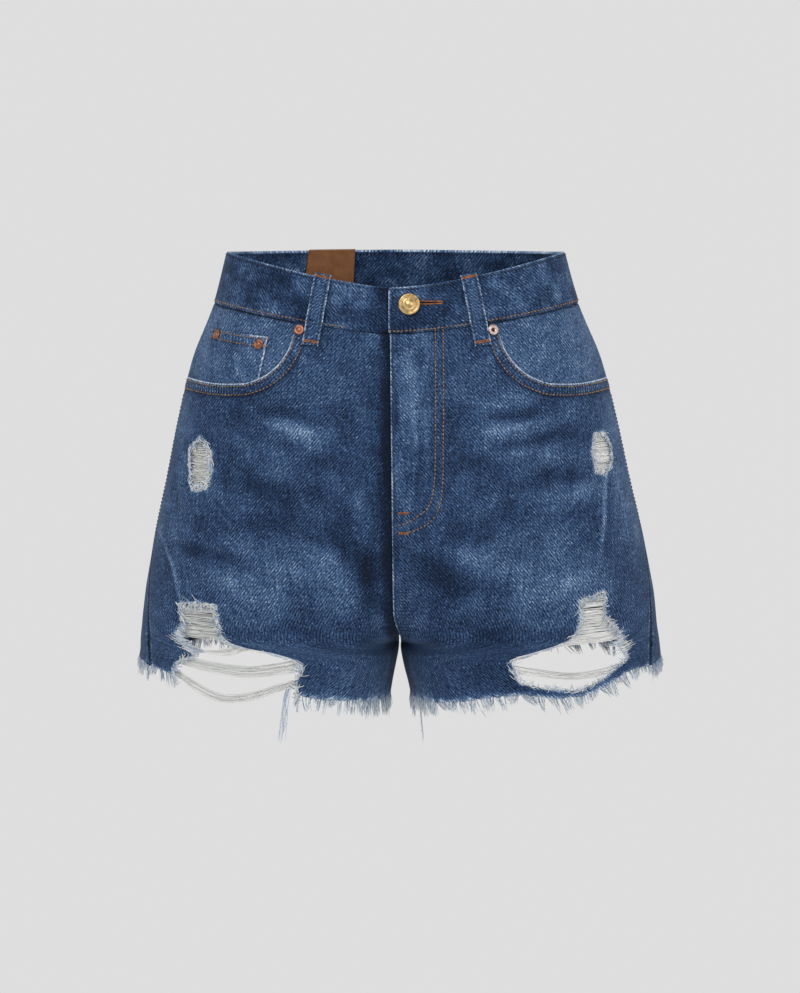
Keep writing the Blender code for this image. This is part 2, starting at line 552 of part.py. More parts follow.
def build():
    for obj in list(bpy.data.objects):
        bpy.data.objects.remove(obj)
    denim = colour("denim", (0.060, 0.105, 0.235))
    white = colour("cotton_white", (0.72, 0.74, 0.76))
    frayed = colour("frayed_cotton", (0.50, 0.57, 0.66))
    tan = colour("tan_leather", (0.33, 0.17, 0.075), 0.0, 0.6)
    brass = colour("brass", (0.60, 0.47, 0.25), 1.0, 0.35)
    copper = colour("copper", (0.45, 0.22, 0.15), 1.0, 0.4)
    nickel = colour("rose_nickel", (0.62, 0.50, 0.47), 1.0, 0.35)

    waistband(denim)
    front(1, "front_left", denim)
    front(-1, "front_right", denim)
    facing(1, "pocket_facing_left", -1.7 * MM, denim)
    facing(-1, "pocket_facing_right", -3.1 * MM, denim)
    pocket_bag(1, "pocket_bag_left", -3.8 * MM, white)
    pocket_bag(-1, "pocket_bag_right", -4.8 * MM, white)
    side_sheet("coin_pocket", -1, "front", fitted(drawn("front", COIN_POCKET)), -1.65 * MM, LINING, denim)

    facing_line = drawn("front", FLY_FACING)
    top = 1 + SEAM / DOWN
    facing_line[0], facing_line[1] = (facing_line[0][0], top), (facing_line[1][0], top)
    side_sheet("fly_facing", 1, "front", fitted(facing_line), -2.1 * MM, LINING, denim)
    for name, left, right, low, out, material in (
        ("zip_tape", -10, 11, 4.2, -5.75 * MM, frayed),
        ("fly_shield", -22, 30, 4.4, -7.2 * MM, denim),
    ):
        a, b = left * MM / 0.2, right * MM / 0.2
        ways = joined(*[straight(p, q, FRONT_LINES) for p, q in (((a, top), (b, top)), ((b, top), (b * 0.85, low)), ((b * 0.85, low), (a * 0.85, low)), ((a * 0.85, low), (a, top)))])
        side_sheet(name, 1, "front", ways, out, LINING, material)
    box_on("zip_slider", 1, 0.004, 1.25, (0.008, 0.010, 0.0020), -4.45 * MM, brass)

    for side, word in ((1, "left"), (-1, "right")):
        back_yoke(side, "back_yoke_" + word, denim)
        back_panel(side, "back_panel_" + word, denim)
        back_pocket(side, "back_pocket_" + word, denim)
        belt_loop("belt_loop_front_" + word, side, "front", (0.318, -0.06), (0.338, 1.38), denim)
        belt_loop("belt_loop_side_back_" + word, side, "back", (0.60, -0.04), (0.60, 1.34), denim)
        fringe(side, "fringe_" + word, frayed)
    belt_loop("belt_loop_centre_back", 1, "back", (0.0, -0.04), (0.0, 1.34), denim)

    side_sheet("leather_patch", -1, "back", joined(*[straight(p, q, 12) for p, q in (((0.19, -0.03), (0.42, -0.03)), ((0.42, -0.03), (0.41, 0.88)), ((0.41, 0.88), (0.19, 0.88)), ((0.19, 0.88), (0.19, -0.03)))]), -2.75 * MM, HIDE, tan, lines=12)

    head = [(0, -2.9), (2.4, -2.9), (2.4, 0.0), (7.6, 0.1), (8.5, 1.0), (8.5, 2.0), (7.6, 2.6), (6.4, 2.5), (4.2, 3.4), (0, 4.0)]
    stud("button", 1, 10, -21.3, 0.7 * MM, head, 24, brass)
    rivet = [(0, 0), (4.0, 0), (4.0, 0.6), (2.9, 1.3), (1.4, 1.5), (0, 1.6)]
    stud("rivet_front_right", -1, 75, -41, 0.7 * MM, rivet, 12, copper)
    stud("rivet_front_left", 1, 74.5, -41, 0.7 * MM, rivet, 12, nickel)
    stud("rivet_coin_outer", -1, 142, -45, -1.0 * MM, rivet, 12, copper)
    stud("rivet_coin_inner", -1, 107.5, -52, -1.0 * MM, rivet, 12, copper)

    threads("tear_threads_right", -1, drawn("front", grown(TEAR_RIGHT, 4)), white)
    threads("tear_threads_left", 1, drawn("front", grown(TEAR_LEFT, 4)), white)
    upper = [(170, -257), (156, -256), (139, -258), (133, -272), (129, -281), (150, -283), (178, -281)]
    threads("rip_threads_right_upper", -1, drawn("front", upper), frayed)
    threads("rip_threads_right_second", -1, ribbon([(179, -284), (158, -289), (138, -290), (118, -283)], 3.0), frayed)
    threads("rip_threads_right_third", -1, ribbon([(179, -296), (150, -301), (120, -304), (96, -302), (78, -299)], 10), frayed)
    threads("rip_threads_right_lowest", -1, ribbon([(179, -305), (160, -317), (139, -325), (115, -323), (95, -317), (76, -311)], 6.5), frayed)
    upper = [(162, -252), (148, -252), (135, -262), (124, -276), (105, -285), (128, -290), (160, -288), (181, -290), (175, -275), (165, -264)]
    threads("rip_threads_left_upper", 1, drawn("front", upper), frayed)
    threads("rip_threads_left_middle", 1, ribbon([(82, -301), (100, -304), (130, -308), (158, -306), (178, -301)], 5), frayed)
    threads("loose_threads_right", -1, [(0.53, 8.45), (0.56, 8.45), (0.57, 9.6), (0.572, 11.0), (0.566, 12.4), (0.555, 12.4), (0.545, 11.0), (0.535, 9.6)], frayed, -3.5 * MM)
    threads("loose_threads_left", 1, [(0.17, 8.75), (0.205, 8.75), (0.205, 10.1), (0.19, 11.6), (0.18, 11.6), (0.17, 10.1)], frayed, -1.9 * MM)


build()
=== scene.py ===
"""Denim shorts: the finished cloth, stitches, frays and metal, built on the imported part's form.

Lengths are millimetres while a piece is worked out and metres in its mesh. The front faces -Y, +X is the
wearer's left.
Each cloth piece is laid out flat, in s across and t down, and then put on the same body form as the fixed
part."""

import math

import bpy
import numpy as np
from mathutils import Matrix, Vector


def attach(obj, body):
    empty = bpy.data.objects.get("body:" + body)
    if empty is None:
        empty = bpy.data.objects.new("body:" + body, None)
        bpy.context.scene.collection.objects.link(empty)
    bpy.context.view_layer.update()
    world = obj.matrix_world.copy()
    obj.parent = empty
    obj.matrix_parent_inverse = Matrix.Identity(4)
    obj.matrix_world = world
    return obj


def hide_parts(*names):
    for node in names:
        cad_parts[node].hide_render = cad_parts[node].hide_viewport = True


bl_info = {
    "name": "Denim Shorts",
    "version": (1, 0, 0),
    "blender": (4, 5, 0),
    "location": "3D View > Sidebar > Shorts",
    "description": "Builds faded, ripped denim shorts on their packed form",
    "category": "Object",
}

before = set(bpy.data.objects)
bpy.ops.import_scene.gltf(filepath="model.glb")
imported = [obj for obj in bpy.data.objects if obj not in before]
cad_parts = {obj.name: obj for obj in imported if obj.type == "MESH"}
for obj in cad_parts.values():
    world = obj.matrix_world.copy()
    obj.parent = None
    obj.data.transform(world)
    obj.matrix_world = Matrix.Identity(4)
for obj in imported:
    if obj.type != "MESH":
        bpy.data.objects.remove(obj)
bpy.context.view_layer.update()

MM = 0.001
FRONT, BACK = 0, 1
LEFT, RIGHT = 1, -1  # the wearer's

# ---------------------------------------------------------------- the body form

# One row for each height, from the waist's top edge (0) to the hem (9) and the fringe's tips (10), in
# millimetres.
# Middle line and fullest point of the front (c, f) and the back (c, b), and the degrees at which the cloth
# leaves them.
COLUMNS = "side_z half seam inner cf_y cf_z fx fy fz f_turn cb_y cb_z bx by bz b_turn".split()
ROWS = np.array(
    [
        [20, 134, 0, 0.0, -82, -8, 0, -82, -8, 90, 84, 22, 0, 84, 22, 90],
        [-21, 145, 0, 0.0, -88, -44, 0, -88, -44, 90, 92, -19, 0, 92, -19, 90],
        [-66, 163, 0, 0.0, -97, -86, 8, -97, -86, 90, 107, -64, 16, 108, -64, 90],
        [-114, 175, 0, 0.0, -104, -130, 18, -104.5, -129, 90, 117, -112, 36, 119, -111, 90],
        [-162, 185, -2, 0.0, -108, -173, 30, -109, -172, 90, 121, -160, 52, 125, -158, 90],
        [-210, 196, -8, 0.0, -106, -217, 44, -111, -214, 88, 116, -208, 64, 126, -203, 85],
        [-250, 203, -15, 0.0, -97, -253, 54, -110, -253, 80, 98, -248, 72, 122, -238, 70],
        [-275, 206, -20, 0.3, -72, -280, 60, -107, -280, 45, 66, -276, 76, 116, -261, 40],
        [-290, 208, -23, 0.8, 8, -295, 64, -104, -299, 0, 8, -295, 80, 110, -276, 0],
        [-303, 209, -25, 8.0, 8, -334, 68, -100, -327, 0, 8, -334, 84, 104, -297, 0],
        [-317, 210, -26, 9.0, 8, -351, 70, -99, -342, 0, 8, -351, 86, 102, -311, 0],
    ],
    float,
)
DRIFT = -0.011  # sideways lean for each millimetre of height
FIRST_ROW, LAST_ROW, ROW_STEP, ACROSS = -0.4, 13.0, 0.05, 401


def slope(k):
    """How fast each column changes at row k, with no swing past a row's own value."""
    before, after = ROWS[k] - ROWS[k - 1], ROWS[k + 1] - ROWS[k]
    same = before * after > 0
    return np.where(same, 2 * before * after / np.where(same, before + after, 1), 0)


def row_at(w):
    last = len(ROWS) - 1
    i = int(min(max(math.floor(w), 0), last - 1))
    t = min(max(w - i, 0.0), 1.0)
    a, b = ROWS[i], ROWS[i + 1]
    slope_a = slope(i) if i > 0 else b - a
    slope_b = slope(i + 1) if i + 2 <= last else b - a
    mixed = (2 * t**3 - 3 * t**2 + 1) * a + (t**3 - 2 * t**2 + t) * slope_a
    mixed += (3 * t**2 - 2 * t**3) * b + (t**3 - t**2) * slope_b
    return dict(zip(COLUMNS, mixed + (b - a) * (w - i - t)))


def section(half, w):
    """Points of one quarter section at row w, from the middle line to the side seam, and its length."""
    r = row_at(w)
    s, c = (-1, "f") if half == FRONT else (1, "b")
    my, mz = r["c" + c + "_y"] if half == BACK else r["cf_y"], r["cb_z"] if half == BACK else r["cf_z"]
    fx, fy, fz = r[c + "x"], r[c + "y"], r[c + "z"]
    turn = math.radians(r[c + "_turn"])
    wide, deep = fx - r["inner"], abs(fy - my)
    lead = np.array([math.sin(turn), s * math.cos(turn)])
    reach = 0.72 * (abs(lead[1]) * deep + abs(lead[0]) * wide)
    p0, p3 = np.array([r["inner"], my]), np.array([fx, fy])
    p1, p2 = p0 + lead * reach, p3 - np.array([0.6 * wide, 0])
    t = np.linspace(0, 1, 90)[:, None]
    xy = (1 - t) ** 3 * p0 + 3 * (1 - t) ** 2 * t * p1 + 3 * (1 - t) * t**2 * p2 + t**3 * p3
    inner = np.column_stack([xy, mz + (fz - mz) * (t * t * (3 - 2 * t))])
    end = math.radians(r["seam"]) * (-1 if half == FRONT else 1)
    angle = np.linspace(math.pi / 2, end, 110)[1:]
    across, depth = np.abs(np.cos(angle)) ** (2 / 2.25), np.abs(np.sin(angle)) ** (2 / 2.25)
    past = np.sin(angle) < 0
    fx_here, fz_here = np.where(past, r["fx"], fx), np.where(past, r["fz"], fz)
    x = fx_here + (r["half"] - fx_here) * across
    y = np.where(past, -abs(r["fy"]), s * abs(fy)) * depth
    share = (x - fx_here) / (r["half"] - fx_here)
    z = r["side_z"] + (fz_here - r["side_z"]) * (1 - np.clip(share, 0, 1) ** 1.5)
    points = np.vstack([inner, np.column_stack([x, y, z])])
    length = np.concatenate([[0], np.cumsum(np.linalg.norm(np.diff(points, axis=0), axis=1))])
    even = np.linspace(0, length[-1], ACROSS)
    return np.column_stack([np.interp(even, length, points[:, i]) for i in range(3)]), length[-1]


def form_tables():
    """Places, outward directions, widths and lengths down for both halves, on an even grid of rows."""
    rows = np.arange(FIRST_ROW, LAST_ROW + ROW_STEP / 2, ROW_STEP)
    at, out, wide, down = [], [], [], []
    top, tenth = int(round(-FIRST_ROW / ROW_STEP)), int(round((10 - FIRST_ROW) / ROW_STEP))
    for half in (FRONT, BACK):
        made = [section(half, w) for w in rows]
        p = np.array([m[0] for m in made])
        mirrored = np.concatenate([p[:, 5:0:-1] * (-1, 1, 1), p], axis=1)
        right = np.minimum(np.arange(ACROSS) + 10, ACROSS + 4)
        along = mirrored[:, right] - mirrored[:, np.arange(ACROSS)]
        fall = np.gradient(p, axis=0)
        n = np.cross(fall, along) if half == FRONT else np.cross(along, fall)
        n /= np.linalg.norm(n, axis=2)[..., None]
        n[:top], n[tenth:] = n[top], n[tenth]
        steps = np.linalg.norm(np.diff(p, axis=0), axis=2)[:, 120:320].mean(1)
        length = np.concatenate([[0], np.cumsum(steps)])
        at.append(p)
        out.append(n)
        wide.append([m[1] for m in made])
        down.append(length - length[top])
    return rows, np.array(at), np.array(out), np.array(wide), np.array(down)


FORM_ROWS, FORM_AT, FORM_OUT, FORM_WIDE, FORM_DOWN = form_tables()


def on_form(half, u, w):
    """Places and outward directions at u (0 middle to 1 side seam, below 0 past the middle) and row w."""
    half = np.broadcast_to(half, np.shape(u))
    i = np.clip((w - FIRST_ROW) / ROW_STEP, 0, len(FORM_ROWS) - 1.001)
    k = np.clip(np.abs(u), 0, 0.99999) * (ACROSS - 1)
    i0, k0 = i.astype(int), k.astype(int)
    a, b = (i - i0)[:, None], (k - k0)[:, None]
    found = []
    for grid in (FORM_AT, FORM_OUT):
        top = grid[half, i0, k0] * (1 - b) + grid[half, i0, k0 + 1] * b
        low = grid[half, i0 + 1, k0] * (1 - b) + grid[half, i0 + 1, k0 + 1] * b
        mixed = top * (1 - a) + low * a
        mixed[:, 0] *= np.where(u < 0, -1, 1)
        found.append(mixed)
    return found[0], found[1] / np.linalg.norm(found[1], axis=1)[:, None]


def put(side, half, u, w, out):
    """World places and directions of cloth that stands out millimetres off the form."""
    p, n = on_form(half, u, w)
    q = p + n * np.reshape(out, (-1, 1))
    world = np.column_stack([side * q[:, 0] + DRIFT * q[:, 2], q[:, 1], q[:, 2]]) * MM
    return world, np.column_stack([side * n[:, 0], n[:, 1], n[:, 2]])


def width(half, w):
    return np.interp(w, FORM_ROWS, FORM_WIDE[half])


def flat(half, u, w):
    """(s, t) in millimetres of points given by u and w."""
    u, w = np.asarray(u, float), np.asarray(w, float)
    return np.column_stack([u * width(half, w), np.interp(w, FORM_ROWS, FORM_DOWN[half])])


def unflat(half, st):
    w = np.interp(st[:, 1], FORM_DOWN[half], FORM_ROWS)
    return st[:, 0] / width(half, w), w


def find(half, x, z):
    """(s, t) of the form's points at these x and z."""
    goal = np.column_stack([x, z]).astype(float)
    coarse = FORM_AT[half][8:230:4, ::8][..., [0, 2]]
    rows, cols = np.arange(8, 230, 4), np.arange(0, ACROSS, 8)
    apart = np.linalg.norm(coarse[None] - goal[:, None, None], axis=3).reshape(len(goal), -1)
    best = apart.argmin(1)
    w = FORM_ROWS[rows[best // len(cols)]]
    u = cols[best % len(cols)] / (ACROSS - 1)
    for _ in range(14):
        here = on_form(half, u, w)[0][:, [0, 2]]
        by_u = (on_form(half, u + 0.003, w)[0][:, [0, 2]] - here) / 0.003
        by_w = (on_form(half, u, w + 0.06)[0][:, [0, 2]] - here) / 0.06
        miss = goal - here
        cross = by_u[:, 0] * by_w[:, 1] - by_u[:, 1] * by_w[:, 0]
        cross = np.where(np.abs(cross) < 1e-6, 1e-6, cross)
        du = (miss[:, 0] * by_w[:, 1] - miss[:, 1] * by_w[:, 0]) / cross
        dw = (by_u[:, 0] * miss[:, 1] - by_u[:, 1] * miss[:, 0]) / cross
        u = np.clip(u + np.clip(du, -0.05, 0.05), 0, 0.999)
        w = w + np.clip(dw, -0.4, 0.4)
    return flat(half, u, w)


def on_front(shape):
    """A line drawn on the front in x and z, as (s, t)."""
    return find(FRONT, *np.array(shape, float).T)


# ---------------------------------------------------------------- lines and noise


def smooth(t):
    t = np.clip(t, 0.0, 1.0)
    return t * t * (3 - 2 * t)


def curve(knots, each=4):
    """A smooth line through the knots."""
    knots = np.array(knots, float)
    last = len(knots) - 1
    found = []
    for i in range(last):
        a, b, c, d = (knots[min(max(j, 0), last)] for j in (i - 1, i, i + 1, i + 2))
        for t in np.arange(each) / each:
            found.append(
                0.5 * (
                    2 * b + (c - a) * t + (2 * a - 5 * b + 4 * c - d) * t**2 + (3 * b - a - 3 * c + d) * t**3
                )
            )
    return np.array(found + [knots[-1]])


def spaced(line, step, closed=False):
    """The same line with points an even step apart."""
    line = np.vstack([line, line[:1]]) if closed else np.asarray(line, float)
    length = np.concatenate([[0], np.cumsum(np.linalg.norm(np.diff(line, axis=0), axis=1))])
    count = max(int(round(length[-1] / step)), 1)
    even = np.linspace(0, length[-1], count + 1)
    made = np.column_stack([np.interp(even, length, line[:, i]) for i in range(line.shape[1])])
    return made[:-1] if closed else made


def shifted(line, by):
    """The line moved sideways by a distance, to its left as s runs right and t runs down."""
    along = np.gradient(line, axis=0)
    along /= np.maximum(np.linalg.norm(along, axis=1), 1e-9)[:, None]
    return line + np.column_stack([along[:, 1], -along[:, 0]]) * np.reshape(by, (-1, 1))


def near(points, line, closed=False):
    """For each point: how far the line is, the length along the line to there, and the place."""
    ends = np.roll(line, -1, axis=0) if closed else line[1:]
    best = np.full(len(points), 1e9)
    run, spot = np.zeros(len(points)), np.zeros((len(points), 2))
    so_far = 0.0
    for a, b in zip(line, ends):
        d = b - a
        length = math.hypot(*d)
        if length < 1e-9:
            continue
        t = np.clip(((points[:, 0] - a[0]) * d[0] + (points[:, 1] - a[1]) * d[1]) / length**2, 0, 1)
        x, y = a[0] + t * d[0], a[1] + t * d[1]
        apart = np.hypot(points[:, 0] - x, points[:, 1] - y)
        closer = apart < best
        best = np.where(closer, apart, best)
        run = np.where(closer, so_far + t * length, run)
        spot[closer, 0], spot[closer, 1] = x[closer], y[closer]
        so_far += length
    return best, run, spot


def inside(points, loop):
    found = np.zeros(len(points), bool)
    x, y = points[:, 0], points[:, 1]
    for a, b in zip(loop, np.roll(loop, -1, axis=0)):
        if a[1] != b[1]:
            crosses = ((a[1] > y) != (b[1] > y)) & (x < (b[0] - a[0]) * (y - a[1]) / (b[1] - a[1]) + a[0])
            found ^= crosses
    return found


def noise(points, size, seed):
    """Smooth random values from -1 to 1 over a plane, with lumps about this size."""
    grid = np.random.default_rng(seed).uniform(-1, 1, (128, 128))
    p = np.asarray(points, float) / size + 400.37
    i = np.floor(p).astype(int)
    f = smooth(p - i)
    x0, y0, x1, y1 = i[:, 0] % 128, i[:, 1] % 128, (i[:, 0] + 1) % 128, (i[:, 1] + 1) % 128
    top = grid[x0, y0] * (1 - f[:, 0]) + grid[x1, y0] * f[:, 0]
    low = grid[x0, y1] * (1 - f[:, 0]) + grid[x1, y1] * f[:, 0]
    return top * (1 - f[:, 1]) + low * f[:, 1]


def ragged(loop, amount, seed, step=0.9):
    """A torn edge: the loop with small uneven bites and tabs."""
    line = spaced(loop, step, closed=True)
    rng = np.random.default_rng(seed)
    run = np.arange(len(line))
    bites = noise(
        np.column_stack([run * step, run * 0]), 3.5, seed
    ) * amount + rng.uniform(-0.4, 0.4, len(line)) * amount
    return shifted(np.vstack([line, line[:1]]), np.append(bites, bites[0]))[:-1]


# ---------------------------------------------------------------- nodes and materials


def rgb(code):
    """Linear colour of an sRGB hex code such as 3c5a80."""
    parts = [int(code[i : i + 2], 16) / 255 for i in (0, 2, 4)]
    return tuple(c / 12.92 if c <= 0.04045 else ((c + 0.055) / 1.055) ** 2.4 for c in parts) + (1.0,)


def add(tree, kind, inputs=None, out=0, **settings):
    """Adds a node, sets its properties, links or sets its inputs, and returns an output socket."""
    made = tree.nodes.new(kind)
    for key, value in settings.items():
        setattr(made, key, value)
    for key, value in (inputs or {}).items():
        if isinstance(value, bpy.types.NodeSocket):
            tree.links.new(value, made.inputs[key])
        else:
            made.inputs[key].default_value = value
    return made.outputs[out] if made.outputs else made


def calc(tree, operation, a, b=0.0, c=0.0, clamp=False):
    return add(tree, "ShaderNodeMath", {0: a, 1: b, 2: c}, operation=operation, use_clamp=clamp)


def ramp(tree, value, stops):
    """A colour ramp from (position, hex) pairs."""
    made = tree.nodes.new("ShaderNodeValToRGB")
    tree.links.new(value, made.inputs[0])
    elements = made.color_ramp.elements
    while len(elements) < len(stops):
        elements.new(0.5)
    for element, (position, code) in zip(elements, stops):
        element.position, element.color = position, rgb(code)
    return made.outputs[0]


def blank(name):
    """A new material's node tree, its shader and its output."""
    made = bpy.data.materials.new(name)
    made.use_nodes = True
    tree = made.node_tree
    shader = tree.nodes["Principled BSDF"]
    return made, tree, shader


def read(tree, name):
    return add(tree, "ShaderNodeAttribute", out=2, attribute_name=name)


def grain(tree, scale, across, down, detail=1.0):
    """Noise over the piece's own flat layout, with lumps of across by down millimetres."""
    uv = add(tree, "ShaderNodeUVMap", uv_map="UVMap")
    placed = add(
        tree, "ShaderNodeVectorMath", {0: uv, 1: (1000 / across, 1000 / down, 1)}, operation="MULTIPLY"
    )
    return add(tree, "ShaderNodeTexNoise", {"Vector": placed, "Scale": scale, "Detail": detail})


DENIM_TONES = [
    (0.0, "0b1526"),
    (0.2, "1a2c4a"),
    (0.4, "2e4668"),
    (0.58, "4a658a"),
    (0.76, "7790ae"),
    (1.0, "cfdae4"),
]


def denim_material(name, tones, twill_show=1.0):
    """Washed indigo twill: white weft specks along slanting ribs, cloudy fading, worn edges and puckered
    seams, with painted shade from the deep value in seam grooves, stitch rows and under laps."""
    made, tree, shader = blank(name)
    uv = add(tree, "ShaderNodeUVMap", uv_map="UVMap")
    # The ribs run at 52 degrees. They are coarser than real twill, as a distant view of it shows them.
    turned = add(
        tree,
        "ShaderNodeVectorRotate",
        {
            "Vector": add(tree, "ShaderNodeVectorMath", {0: uv, 1: (1000, 1000, 1)}, operation="MULTIPLY"),
            "Angle": math.radians(-52)
        },
        rotation_type="Z_AXIS",
    )
    split = tree.nodes.new("ShaderNodeSeparateXYZ")
    tree.links.new(turned, split.inputs[0])
    wobble = calc(tree, "MULTIPLY", grain(tree, 1.0, 9, 9), 1.3)
    ribs = calc(
        tree, "SINE", calc(tree, "MULTIPLY", calc(tree, "ADD", split.outputs[1], wobble), 2 * math.pi / 2.0)
    )
    stretched = add(tree, "ShaderNodeVectorMath", {0: turned, 1: (0.24, 1.0, 1)}, operation="MULTIPLY")
    specks = add(
        tree, "ShaderNodeTexNoise", {"Vector": stretched, "Scale": 0.95, "Detail": 1.5, "Roughness": 0.6}
    )
    specks = calc(tree, "SUBTRACT", specks, 0.5)
    fine = add(tree, "ShaderNodeTexNoise", {"Vector": stretched, "Scale": 2.1, "Detail": 0.0})
    fine = calc(tree, "SUBTRACT", fine, 0.5)
    slub = calc(tree, "SUBTRACT", grain(tree, 1.0, 1.6, 26), 0.5)
    cloud = calc(tree, "SUBTRACT", grain(tree, 1.0, 13, 13, 3.0), 0.5)
    broad = calc(tree, "SUBTRACT", grain(tree, 1.0, 52, 40, 2.0), 0.5)
    fade, edge, deep = read(tree, "fade"), read(tree, "edge"), read(tree, "deep")
    pucker = read(tree, "pucker")
    bars = calc(
        tree, "MULTIPLY", calc(tree, "SINE", calc(tree, "MULTIPLY", read(tree, "run"), 2 * math.pi / 2.7)),
        pucker
    )
    value = calc(tree, "MULTIPLY_ADD", ribs, 0.10 * twill_show, 0.335)
    value = calc(tree, "MULTIPLY_ADD", specks, 0.85 * twill_show, value)
    value = calc(tree, "MULTIPLY_ADD", fine, 0.85 * twill_show, value)
    value = calc(tree, "MULTIPLY_ADD", slub, 0.24, value)
    value = calc(tree, "MULTIPLY_ADD", cloud, 0.26, value)
    value = calc(tree, "MULTIPLY_ADD", broad, 0.24, value)
    value = calc(tree, "MULTIPLY_ADD", bars, 0.19, value)
    value = calc(tree, "ADD", value, fade)
    worn = calc(tree, "MULTIPLY", edge, calc(tree, "ADD", grain(tree, 1.0, 1.6, 1.6, 2.0), 0.35))
    value = calc(tree, "MULTIPLY_ADD", worn, 0.8, value)
    # Painted shade: the deep value darkens the colour in seam grooves, stitch rows and under overlapping cloth.
    value = calc(tree, "MULTIPLY_ADD", deep, -0.34, value, clamp=True)
    tree.links.new(ramp(tree, value, tones), shader.inputs["Base Color"])
    height = calc(tree, "MULTIPLY_ADD", ribs, 0.08, calc(tree, "MULTIPLY", specks, 0.45))
    height = calc(tree, "MULTIPLY_ADD", bars, 0.5, height)
    height = calc(tree, "MULTIPLY_ADD", cloud, 1.1, height)
    bump = add(tree, "ShaderNodeBump", {"Height": height, "Strength": 0.55, "Distance": 0.0007})
    tree.links.new(bump, shader.inputs["Normal"])
    shader.inputs["Roughness"].default_value = 0.9
    shader.inputs["Specular IOR Level"].default_value = 0.15
    shader.inputs["Sheen Weight"].default_value = 0.12
    shader.inputs["Sheen Roughness"].default_value = 0.5
    shader.inputs["Sheen Tint"].default_value = rgb("a9bcd6")
    return made


def cotton_material(name, low, high, across, down):
    """Plain woven cotton with fine lines, from its darker to its paler colour."""
    made, tree, shader = blank(name)
    value = calc(tree, "MULTIPLY_ADD", grain(tree, 1.0, across, down, 2.0), 1.2, -0.1)
    tree.links.new(ramp(tree, value, [(0.25, low), (0.75, high)]), shader.inputs["Base Color"])
    bump = add(
        tree, "ShaderNodeBump",
        {"Height": grain(tree, 1.0, across * 0.6, down * 0.6), "Strength": 0.4, "Distance": 0.0004}
    )
    tree.links.new(bump, shader.inputs["Normal"])
    shader.inputs["Roughness"].default_value = 0.95
    shader.inputs["Specular IOR Level"].default_value = 0.1
    return made


def thread_material(name, stops):
    """Loose cotton thread. Each strand's tint picks its colour between indigo and undyed white."""
    made, tree, shader = blank(name)
    tree.links.new(ramp(tree, read(tree, "tint"), stops), shader.inputs["Base Color"])
    shader.inputs["Roughness"].default_value = 0.9
    shader.inputs["Specular IOR Level"].default_value = 0.1
    shader.inputs["Sheen Weight"].default_value = 0.2
    return made


def sewing_material(name, low, high):
    """Topstitching thread, uneven where the wash has faded it."""
    made, tree, shader = blank(name)
    place = add(tree, "ShaderNodeTexCoord", out=3)
    value = add(tree, "ShaderNodeTexNoise", {"Vector": place, "Scale": 260.0, "Detail": 1.0})
    tree.links.new(ramp(tree, value, [(0.3, low), (0.7, high)]), shader.inputs["Base Color"])
    shader.inputs["Roughness"].default_value = 0.7
    shader.inputs["Specular IOR Level"].default_value = 0.25
    return made


def metal_material(name, low, high, rough):
    """Stamped metal, its colour mottled between a darker and a paler tone."""
    made, tree, shader = blank(name)
    place = add(tree, "ShaderNodeTexCoord", out=3)
    value = add(tree, "ShaderNodeTexNoise", {"Vector": place, "Scale": 420.0, "Detail": 3.0})
    tree.links.new(ramp(tree, value, [(0.3, low), (0.7, high)]), shader.inputs["Base Color"])
    shader.inputs["Metallic"].default_value = 1.0
    shader.inputs["Roughness"].default_value = rough
    return made


def leather_material(name):
    """Tan hide with pores, made paler by the piece's fade values."""
    made, tree, shader = blank(name)
    value = calc(tree, "MULTIPLY_ADD", grain(tree, 1.0, 7, 7, 3.0), 0.8, 0.1)
    value = calc(tree, "ADD", value, read(tree, "fade"))
    tree.links.new(
        ramp(tree, value, [(0.1, "6b4122"), (0.5, "80502c"), (0.95, "99693c")]), shader.inputs["Base Color"]
    )
    bump = add(
        tree, "ShaderNodeBump",
        {"Height": grain(tree, 1.0, 1.2, 1.2, 3.0), "Strength": 0.35, "Distance": 0.0005}
    )
    tree.links.new(bump, shader.inputs["Normal"])
    shader.inputs["Roughness"].default_value = 0.55
    return made


MATERIALS = {}


def material(name):
    """One of the finishes, made when it is first asked for."""
    if name not in MATERIALS:
        MATERIALS[name] = FINISHES[name](name)
    return MATERIALS[name]


INSIDE_TONES = [(0.0, "141c28"), (0.4, "2b384c"), (0.7, "4b5c74"), (1.0, "8b9aad")]
FINISHES = {
    "washed_denim": lambda name: denim_material(name, DENIM_TONES),
    "denim_reverse": lambda name: denim_material(name, INSIDE_TONES, 0.6),
    "white_cotton": lambda name: cotton_material(name, "a3aeb2", "dfe6ea", 2.4, 1.1),
    "zip_cotton": lambda name: cotton_material(name, "3a4660", "5b6a86", 1.2, 1.2),
    "frayed_cotton": lambda name: thread_material(
        name, [(0.0, "1d2b45"), (0.3, "4d6486"), (0.6, "9fb0c6"), (0.85, "d8dfe6"), (1.0, "efeee8")]
    ),
    "beige_cotton": lambda name: thread_material(
        name, [(0.0, "4a5058"), (0.3, "8f969b"), (0.6, "d2d5d4"), (1.0, "fbfbf8")]
    ),
    "golden_brown_thread": lambda name: sewing_material(name, "6b5236", "b08a58"),
    "orange_brown_thread": lambda name: sewing_material(name, "7c4a26", "b97840"),
    "dark_thread": lambda name: sewing_material(name, "17202f", "3c4453"),
    "tan_leather": leather_material,
    "antique_brass": lambda name: metal_material(name, "9a7b4c", "e3c48e", 0.32),
    "aged_copper": lambda name: metal_material(name, "6b3f31", "b98168", 0.38),
    "rose_nickel": lambda name: metal_material(name, "a98c86", "e2cdc6", 0.3),
    "dark_metal": lambda name: metal_material(name, "2c221c", "57453a", 0.5),
}

# ---------------------------------------------------------------- cloth pieces

PIECES = {}


def mesh_object(name, points, faces, edges=()):
    mesh = bpy.data.meshes.new(name)
    mesh.from_pydata(
        [tuple(p) for p in points], [tuple(e) for e in edges], [tuple(int(i) for i in f) for f in faces]
    )
    made = bpy.data.objects.new(name, mesh)
    bpy.context.scene.collection.objects.link(made)
    return made


